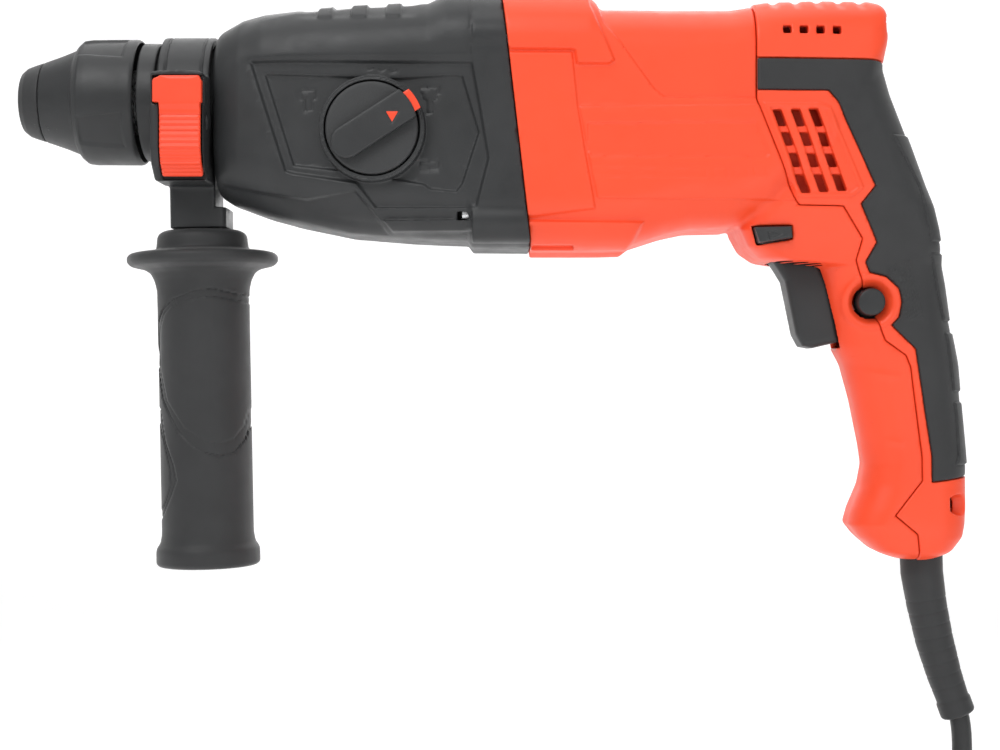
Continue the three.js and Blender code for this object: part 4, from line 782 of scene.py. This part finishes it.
CAP_PROFILE = [(-1, 8.0), (0, 8.6), (1.2, 12), (3.4, 13.8), (6.4, 14.9), (9.6, 15.9), (11, 16.3)]
SLEEVE_PROFILE = [(9.9, 16.0), (18, 18.8), (23.8, 21.1), (25.0, 23.0), (27.0, 24.7), (30, 25.1), (47.6, 25.2),
                  (49.2, 24.7)]
THUMB_ANGLE = -35.0


def turned(x, radius, profile):
    """Distance to a body of revolution whose radius runs through a profile."""
    xs, rs = zip(*profile)
    slope = np.gradient(np.interp(x, xs, rs), axis=0) / np.gradient(x, axis=0)
    return (radius - np.interp(x, xs, rs)) / np.sqrt(1 + slope ** 2)


def nose_cap():
    g = Grid(-1, 11, -17.5, 17.5, -17.5, 17.5, 0.4)
    x, y, z = g.axes()
    radius = np.sqrt(y ** 2 + z ** 2)
    d = smooth_meet(turned(x, radius, CAP_PROFILE), -x, 1.2)
    d = np.maximum(d, x - 9.6)
    d = smooth_cut(d, radius - 5.6, 0.8)
    d = np.maximum(d, -np.maximum(radius - 13.3, 4 - x))
    return place(g.mesh("nose_cap_skin", d, LOOKS["black_rubber"]), "spindle", "black_rubber", "nose_cap")


def chuck_sleeve():
    g = Grid(9, 50.5, -26, 26, -26, 26, 0.45)
    x, y, z = g.axes()
    radius = np.sqrt(y ** 2 + z ** 2)
    angle = np.degrees(np.arctan2(z, -y)) - THUMB_ANGLE
    angle = np.abs((angle + 45) % 90 - 45)
    along = x - 36 + 0 * angle
    thumb = np.maximum(angle * 0.42 - 7.2 - along * 0.1, np.abs(along + 1) - 10)
    thumb = np.maximum(thumb, -along - 9.5)
    d = turned(x, radius, SLEEVE_PROFILE) + 0.85 * smooth_step(thumb, 1.3)
    d = smooth_meet(d, x - 49.2, 0.8)
    d = np.maximum(d, 9.9 - x)
    skirt = np.interp(x, [22, 26, 31, 50], [18.4, 18.4, 23.2, 23.9])
    hollow = np.minimum(radius - 13.4, np.maximum(radius - skirt, 22 - x))
    d = np.maximum(d, -hollow)
    return place(g.mesh("chuck_sleeve_skin", d, LOOKS["black_housing"]), "chuck_sleeve", "black_housing",
                 "chuck_sleeve")


nose_cap()
chuck_sleeve()

# ---------------------------------------------------------------- mode knob


def knob_axes(x, z):
    """Along the knob's bar and across it."""
    cos, sin = math.cos(KNOB_TURN), math.sin(KNOB_TURN)
    dx, dz = x - KNOB["x"], z - KNOB["z"]
    return dx * cos + dz * sin, -dx * sin + dz * cos


POINTER = [(149.3, -9.6), (154.9, -9.6), (152.1, -14.4)]
BUTTON = {"inner": 12.0, "outer": 20.3, "half": 4.3}


def mode_knob():
    g = Grid(124, 164, -43.6, -22.8, -35.5, 4.6, 0.35)
    x, y, z = g.axes()
    u, v = knob_axes(x, z)
    radius = np.sqrt(u ** 2 + v ** 2)
    d = smooth_meet(radius - KNOB["radius"], np.abs(y + 36.55) - 2.25, 1.2)
    stem = np.maximum(radius - 5, np.abs(y + 31) - 4.4)
    pin = np.maximum(np.sqrt((u - 2.6) ** 2 + v ** 2) - 1.5, np.abs(y + 25.2) - 1.8)
    d = np.minimum(d, np.minimum(stem, pin))
    place(g.mesh("mode_knob_disc", d, LOOKS["knob_disc_painted_highlight"]), "mode_knob", "black_housing", "mode_knob")
    bar = rounded_box(u, v, -17.3, 40, -6.3, 6.3, 6.2)
    bar = smooth_meet(bar + 0.12 * (y + KNOB["face"]), radius - KNOB["radius"], 0.5)
    bar = smooth_meet(bar, np.maximum(-KNOB["face"] - y, y + 38.6), 1.1)
    pocket = np.maximum(np.abs(v) - BUTTON["half"] - 0.3, BUTTON["inner"] - 2.4 - u)
    pocket = np.maximum(pocket, np.abs(y + 41.05) - 1.15)
    bar = np.maximum(bar, -pocket)
    bar = smooth_cut(bar, np.maximum(polygon(x, z, POINTER), y + 42.6), 0.3)
    place(g.mesh("mode_knob_bar", bar, LOOKS["black_housing"]), "mode_knob", "black_housing")
    pointer = np.maximum(polygon(x, z, POINTER) + 0.1, np.abs(y + 42.55) - 0.25)
    place(g.mesh("mode_knob_pointer", pointer, LOOKS["red_button"]), "mode_knob", "red_button")
    button = np.maximum(np.abs(v) - BUTTON["half"], np.maximum(BUTTON["inner"] - u, radius - BUTTON["outer"]))
    button = smooth_meet(button, np.abs(y + 41.5) - 0.5, 0.5)
    place(g.mesh("mode_button_skin", button, LOOKS["red_button"]), "mode_lock_button", "red_button",
          "mode_lock_button")


mode_knob()

# ---------------------------------------------------------------- controls in the handle

SWITCH_FACE = [(292.1, -52.6), (306.6, -52.3), (307, -56.8), (294.2, -58.7)]
SWITCH_MIDDLE = 300
SWITCH_ARROW = [(297.4, -54.3), (302.6, -55.4), (298.3, -57.4)]


def trigger():
    g = Grid(300, 344, -9.6, 9.6, -101, -61, 0.4)
    x, y, z = g.axes()
    outline = polygon(x, z, TRIGGER)
    d = smooth_meet(outline + 0.1, np.abs(y) - TRIGGER_HALF, 3.2)
    stem = np.maximum(rounded_box(x, z, 322, 342, -92, -84, 0.5), np.abs(y) - 3)
    d = np.minimum(d, stem)
    return place(g.mesh("trigger_skin", d, LOOKS["black_housing"]), "trigger", "black_housing", "trigger")


def direction_switch():
    g = Grid(290.5, 309, -30, 25, -60.5, -50.5, 0.35)
    x, y, z = g.axes()
    ends = np.maximum(-29.2 - y, y - 24.2)
    d = smooth_meet(polygon(x, z, SWITCH_FACE), ends, 0.9)
    arrow = np.abs(polygon(x, z, SWITCH_ARROW)) - 0.22
    d = smooth_cut(d, np.maximum(arrow, y + 28.8), 0.2)
    arrow = np.abs(polygon(2 * SWITCH_MIDDLE - x, z, SWITCH_ARROW)) - 0.22
    d = smooth_cut(d, np.maximum(arrow, 23.8 - y), 0.2)
    return place(g.mesh("direction_switch_skin", d, LOOKS["black_housing"]), "direction_switch",
    "black_housing",
                 "direction_switch")


def lock_on_button():
    g = Grid(332, 347, -22.8, -10.6, -88.5, -74, 0.35)
    x, y, z = g.axes()
    radius = np.sqrt((x - LOCK["x"]) ** 2 + (z - LOCK["z"]) ** 2)
    crown = -21.8 - y + 0.016 * radius ** 2
    d = smooth_meet(radius - LOCK["radius"], np.maximum(crown, y + 11.4), 1.0)
    return place(g.mesh("lock_on_button_skin", d, LOOKS["black_housing"]), "lock_on_button", "black_housing",
                 "lock_on_button")


trigger()
direction_switch()
lock_on_button()

# ---------------------------------------------------------------- side handle

SIDE = {"pivot_x": 72.2, "pivot_z": -30, "lean": math.radians(1.1), "half": 11.2}
CLAMP_FRONT, CLAMP_REAR = 59.0, 79.3
BLOCK = [(-16, 7.3), (-38.4, 7.3), (-38.4, -24), (-36, -30), (-29, -35.2), (-10, -35.2), (-10, -24),
         (-16, -18)]
RELEASE = [(-36.2, 4.4), (-40, 4.4), (-40, -6.5), (-39.1, -8.5), (-39.1, -23), (-37, -29), (-31.6, -33.8),
           (-30.4, -31.4), (-35, -26.6), (-36.2, -22)]
RELEASE_POCKET = [(-60, 4.9), (-60, -34.3), (-28.2, -34.3), (-28.2, -31.2), (-32.7, -26.6), (-33.9, -22),
                  (-33.9, 4.9)]


def leaned(x, z):
    """Across the side handle's axis, and down along it from its pivot."""
    cos, sin = math.cos(SIDE["lean"]), math.sin(SIDE["lean"])
    dx, dz = x - SIDE["pivot_x"], z - SIDE["pivot_z"]
    return dx * cos + dz * sin, dx * sin - dz * cos


def handle_clamp():
    g = Grid(58, 86, -41.5, 27, -54, 27, 0.45)
    x, y, z = g.axes()
    across, under = leaned(x, z)
    radius = np.sqrt(y ** 2 + z ** 2)
    ring = smooth_meet(radius - 25.8, np.maximum(CLAMP_FRONT - x, x - CLAMP_REAR), 0.8)
    for groove in (62.2, 76.4):
        ring = np.maximum(ring, -np.maximum(np.abs(x - groove) - 0.28, 25.2 - radius))
    block = smooth_meet(polygon(y, z, BLOCK) + 0.4, np.abs(x - 69.1) - 10.2, 1.4)
    block = smooth_meet(block, z - 7.3 + ((x - 69.1) / 10) ** 2 * 1.2, 1.0)
    stem = rounded_box(across, y, -SIDE["half"], SIDE["half"], -SIDE["half"], SIDE["half"], 2.6)
    stem = np.maximum(stem, under - 21.4)
    upper = smooth_meet(stem, across - 7.1, 1.0)
    stem = np.where(under < 13.2, np.maximum(upper, -8 - under), stem)
    d = smooth_union(smooth_union(ring, stem, 2.5), block, 1.6)
    mould = np.maximum(np.abs(across) - 0.18, np.abs(y) - 11.05)
    d = np.minimum(d, np.maximum(np.maximum(mould - 0.02, np.abs(y) - 11.35), np.abs(under - 17) - 4.2))
    d = np.maximum(d, -(np.maximum(radius - 23.1, 55 - x)))
    d = np.maximum(d, -(np.sqrt((y + 29.8) ** 2 + (z + 12) ** 2) - 3.4 + 0 * x))
    pocket = np.maximum(polygon(y, z, RELEASE_POCKET), np.abs(x - 70.5) - 8.3)
    head = np.maximum(np.maximum(np.abs(z + 0.65) - 5.55, y + 33.9), np.abs(x - 69.6) - 9.8)
    d = smooth_cut(d, np.minimum(pocket, head), 0.3)
    bolt = np.maximum(np.sqrt(across ** 2 + y ** 2) - 4.5, under - 60)
    d = np.maximum(d, -np.maximum(bolt, -2 - under))
    head_room = np.maximum(np.maximum(np.abs(across) - 6.5, np.abs(y) - 8.5), np.abs(under + 2.95) - 3.95)
    d = np.maximum(d, -head_room)
    return place(g.mesh("handle_clamp_skin", d, LOOKS["black_housing"]), "side_clamp", "black_housing",
                 "handle_clamp")


def depth_release():
    g = Grid(59.5, 80, -41, -29.5, -35, 5.5, 0.35)
    x, y, z = g.axes()
    coarse = np.abs((z + 10.2) / 2.2 % 1 - 0.35) * (z < -10.2) * (z > -25.6)
    fine = np.abs((z + 25.6) / 1.3 % 1 - 0.35) * (z <= -25.6) * 0.7
    steps_down = (coarse + fine) * 1.1 * np.clip((-30 - y) / 4, 0, 1)
    profile = polygon(y, z, RELEASE)
    tongue = smooth_meet(profile + steps_down, np.abs(x - 70.5) - 7.9, 0.8)
    arch = z - 4.4 + ((x - 69.6) / 9.4) ** 4 * 1.6
    sides = np.maximum(np.abs(x - 69.6) - 9.4, -5.7 - z)
    head = smooth_meet(sides, np.maximum(arch, np.abs(y + 38.1) - 1.9), 0.6)
    d = np.minimum(tongue, head)
    return place(g.mesh("depth_release_skin", d, LOOKS["red_button"]), "depth_release", "red_button",
                 "depth_release_button")


GRIP_PROFILE = [
    (21.9, 14.8), (23.0, 17.2), (24.6, 18.0), (29.2, 18.5), (29.9, 19.4), (30.4, 25), (30.9, 28.6),
    (32.4, 30.2),
    (34.6, 30.2), (36.4, 28.4), (37.2, 23.6), (39.0, 20.9), (42, 19.4), (46, 18.5), (60, 18.4), (144, 18.4),
    (147.6, 19.0), (149.8, 20.5), (151.4, 20.8), (155.6, 20.8), (157.0, 20.2), (158, 19.4),
]
# Edges of the grip's two raised ribbons, as [across, under] its pivot.
RIBBON_OUTER = [
    (24.53, 50.64), (16.27, 48.29), (6.26, 45.86), (-0.7, 46.99), (-9.4, 50.03), (-14.18, 53.68),
    (-17.05, 58.46), (-18.1, 75.84), (-15.05, 89.74), (-8.53, 101.91), (-2.44, 107.99), (2.78, 111.03),
    (8, 112.51), (13.22, 111.03), (16.7, 106.26), (18.44, 99.3), (24.53, 84.53),
]
RIBBON_INNER = [
    (24.53, 53.68), (16.7, 51.07), (6.26, 48.9), (-2.44, 50.03), (-10.27, 52.55), (-13.75, 55.68),
    (-16.01, 61.07), (-16.7, 75.84), (-13.31, 90.18), (-5.92, 101.04), (1.91, 106.26), (8, 107.73),
    (13.22, 105.82), (16.53, 101.04), (17.92, 94.96), (24.53, 80.19),
]
SWOOP_OUTER = [
    (-25.06, 91.48), (-17.05, 93.65), (-14.18, 107.12), (-10.7, 115.81), (-9.57, 121.9), (-12.01, 127.98),
    (-15.92, 135.37), (-25.06, 145.36),
]
SWOOP_INNER = [
    (-25.06, 99.3), (-17.66, 99.3), (-14.79, 107.12), (-12.18, 117.55), (-11.74, 123.64),
    (-14.62, 130.59), (-16.53, 133.37), (-25.06, 140.15),
]


def side_grip():
    g = Grid(40, 106, -31.5, 31.5, -189, -51, 0.5)
    x, y, z = g.axes()
    across, under = leaned(x, z)
    radius = np.sqrt(across ** 2 + y ** 2)
    unders, radii = zip(*GRIP_PROFILE)
    fine = np.arange(18, 162, 0.25)
    smooth = np.convolve(np.pad(np.interp(fine, unders, radii), 2, "edge"), np.ones(5) / 5, "valid")
    wall = np.interp(under, fine, smooth).astype(np.float32)
    slope = np.gradient(smooth, 0.25)
    steep = np.sqrt(1 + np.interp(under, fine, slope).astype(np.float32) ** 2)
    d = (radius - wall) / steep
    relief = 0 * across
    for outer, inner in ((RIBBON_OUTER, RIBBON_INNER), (SWOOP_OUTER, SWOOP_INNER)):
        out, inn = polygon(across, under, outer), polygon(across, under, inner)
        relief = relief + 0.9 * smooth_step(np.abs(out) - 0.45, 0.5) + 0.7 * smooth_step(np.abs(inn) - 0.4, 0.5)
        relief = relief + 0.3 * smooth_step(np.maximum(out, -inn), 0.5)
    d = d + relief * (under > 44)
    d = smooth_meet(d, under - 157.2, 1.6)
    d = np.maximum(d, 22.0 - under)
    d = np.maximum(d, -np.maximum(radius - 4.5, under - 70))
    d = np.maximum(d, -np.maximum(radius - 7.1, np.abs(under - 42) - 4))
    return place(g.mesh("side_grip_skin", d, LOOKS["black_rubber"]), "side_grip", "black_rubber", "side_grip")


handle_clamp()
depth_release()
side_grip()

# ---------------------------------------------------------------- cord guard and plug

GUARD_PATH = [(363.6, -177.5), (364, -190), (366, -203), (369, -217), (373, -231), (377.2, -243),
              (378.9, -247.6)]
GUARD_WALL = [(0, 8.6), (0.2, 8.4), (0.4, 7.9), (0.6, 7.5), (0.78, 6.9), (0.9, 6.5), (0.915, 7.0),
              (0.985, 7.0),
              (1, 6.5)]


def cord_guard():
    """A tapered sleeve on a fixed curved path into the lead, with a moulded collar at its end and shallow flex
    rings.
    """
    g = Grid(353, 390, -9.5, 9.5, -250, -176, 0.4)
    x, y, z = g.axes()
    path = np.array(GUARD_PATH, np.float32)
    lengths = np.concatenate([[0], np.cumsum(np.hypot(*np.diff(path, axis=0).T))])
    best = np.full(np.broadcast(x, z).shape, 1e9, np.float32)
    along = np.zeros(best.shape, np.float32)
    for i, (a, b) in enumerate(zip(path[:-1], path[1:])):
        e = b - a
        t = ((x - a[0]) * e[0] + (z - a[1]) * e[1]) / (e @ e)
        low = -9 if i == 0 else 0
        high = 9 if i == len(path) - 2 else 1
        t = np.clip(t, low, high)
        away = np.hypot(x - a[0] - t * e[0], z - a[1] - t * e[1])
        nearer = away < best
        best = np.where(nearer, away, best)
        along = np.where(nearer, (lengths[i] + t * (lengths[i + 1] - lengths[i])) / lengths[-1], along)
    walls = np.interp(along, *zip(*GUARD_WALL))
    rings = 0.22 * smooth_step(np.abs((along * 14) % 1 - 0.5) * 5 - 0.45, 0.4) * (along > 0.3) * (along < 0.86)
    d = np.sqrt(best ** 2 + y ** 2) - walls + rings
    d = smooth_meet(d, (along - 1) * lengths[-1], 0.8)
    d = np.maximum(d, -along * lengths[-1])
    return place(g.mesh("cord_guard_skin", d, LOOKS["black_rubber"]), "housing", "black_rubber", "cord_guard")


PIN = {"offset": 9.5, "radius": 2.4}
PLUG = {"x": 380.4, "y": -8.1, "top": -365.8, "body": -383.0, "end": -421.0}


def mains_plug():
    g = Grid(361.5, 399.5, -27, 11, -441, -364, 0.45)
    x, y, z = g.axes()
    radius = np.hypot(x - PLUG["x"], y - PLUG["y"])
    heights = [-441, PLUG["end"], -404, -390, PLUG["body"], -380, -372, PLUG["top"], -360]
    walls = [17.8, 17.8, 15.4, 12.6, 9.5, 5.8, 5.2, 4.7, 4.6]
    body = (radius - np.interp(z, heights, walls)) * 0.93
    body = smooth_meet(body, np.maximum(z - PLUG["top"], PLUG["end"] - z), 1.2)
    flutes = smooth_step(np.abs(z + 396) - 8, 4) * (0.5 + 0.5 * np.cos(2.1 * (z + 396)))
    neck_rings = smooth_step(np.abs((z + 374) % 3 - 1.5) - 0.7, 0.4)
    body = body + 0.5 * flutes + 0.4 * neck_rings * (z > -381) * (z < -368)
    plug = g.mesh("mains_plug_body", body, LOOKS["cord_rubber"])
    place(plug, "housing", "cord_rubber", "mains_plug")
    pins = [np.hypot(x - PLUG["x"], y - PLUG["y"] - side * PIN["offset"]) for side in (1, -1)]
    pins = np.minimum(*pins) - PIN["radius"]
    pins = smooth_meet(pins, np.maximum(-440 - z, z + 420), 1.6)
    return plug, place(g.mesh("mains_plug_pins", pins, LOOKS["steel"]), "housing", "steel")


cord_guard()
plug_body, plug_pins = mains_plug()

# ---------------------------------------------------------------- carried-over pieces

CARRIED = {
    "steel": [
        "chuck_spring", "spindle", "locking_roller_top", "locking_roller_bottom", "impact_bolt", "striker",
        "piston_pin", "countershaft", "armature_shaft", "armature_front_bearing", "armature_rear_bearing",
        "countershaft_rear_bearing", "spindle_bearing", "case_screw_top_left", "case_screw_top_right",
        "case_screw_bottom_left", "case_screw_bottom_right", "cover_screw_top", "cover_screw_bottom", "clamp_strap",
        "clamp_bolt", "grip_nut",
    ],
    "dark_steel": ["spindle_gear", "piston", "countershaft_gear", "wobble_plate", "armature_core",
    "stator_core",
                   "bearing_flange"],
    "copper": ["commutator", "field_coil_top", "field_coil_bottom"],
    "brass": ["brush_holder_left", "brush_holder_right"],
    "graphite": ["carbon_brush_left", "carbon_brush_right"],
    "grey_plastic": ["cooling_fan", "brush_bridge", "trigger_switch", "cord_tie"],
    "black_rubber": ["striker_oring"],
}
for look, names in CARRIED.items():
    for name in names:
        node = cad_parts[name]
        node.data.materials.clear()
        node.data.materials.append(LOOKS[look])

# ---------------------------------------------------------------- studio

FLOOR_DROP = 0.02
floor_z = cad_box[0][2] - FLOOR_DROP
WALL_DISTANCE = 2.6


def stage_plane(name, corners, albedo, glow):
    """A pale flat of the studio, with a faint glow of its own where it stands for a lit paper roll."""
    mesh = bpy.data.meshes.new(name)
    mesh.from_pydata(corners, [], [(0, 1, 2, 3)])
    material = Nodes(name + "_paint", Roughness=0.8, Emission_Color=(1, 1, 1, 1), Emission_Strength=glow)
    material.colours(material.noise(3, 2), (0.3, (albedo - 0.02,) * 3), (0.7, (albedo,) * 3))
    mesh.materials.append(material.material)
    obj = bpy.data.objects.new(name, mesh)
    scene.collection.objects.link(obj)


stage_plane("floor", [(-60, -60, floor_z), (60, -60, floor_z), (60, 60, floor_z), (-60, 60, floor_z)],
            0.9, 0.27)
stage_plane("paper_wall", [(-9, WALL_DISTANCE, floor_z), (9, WALL_DISTANCE, floor_z), (9, WALL_DISTANCE, 6),
                           (-9, WALL_DISTANCE, 6)], 0.9, 0.42)
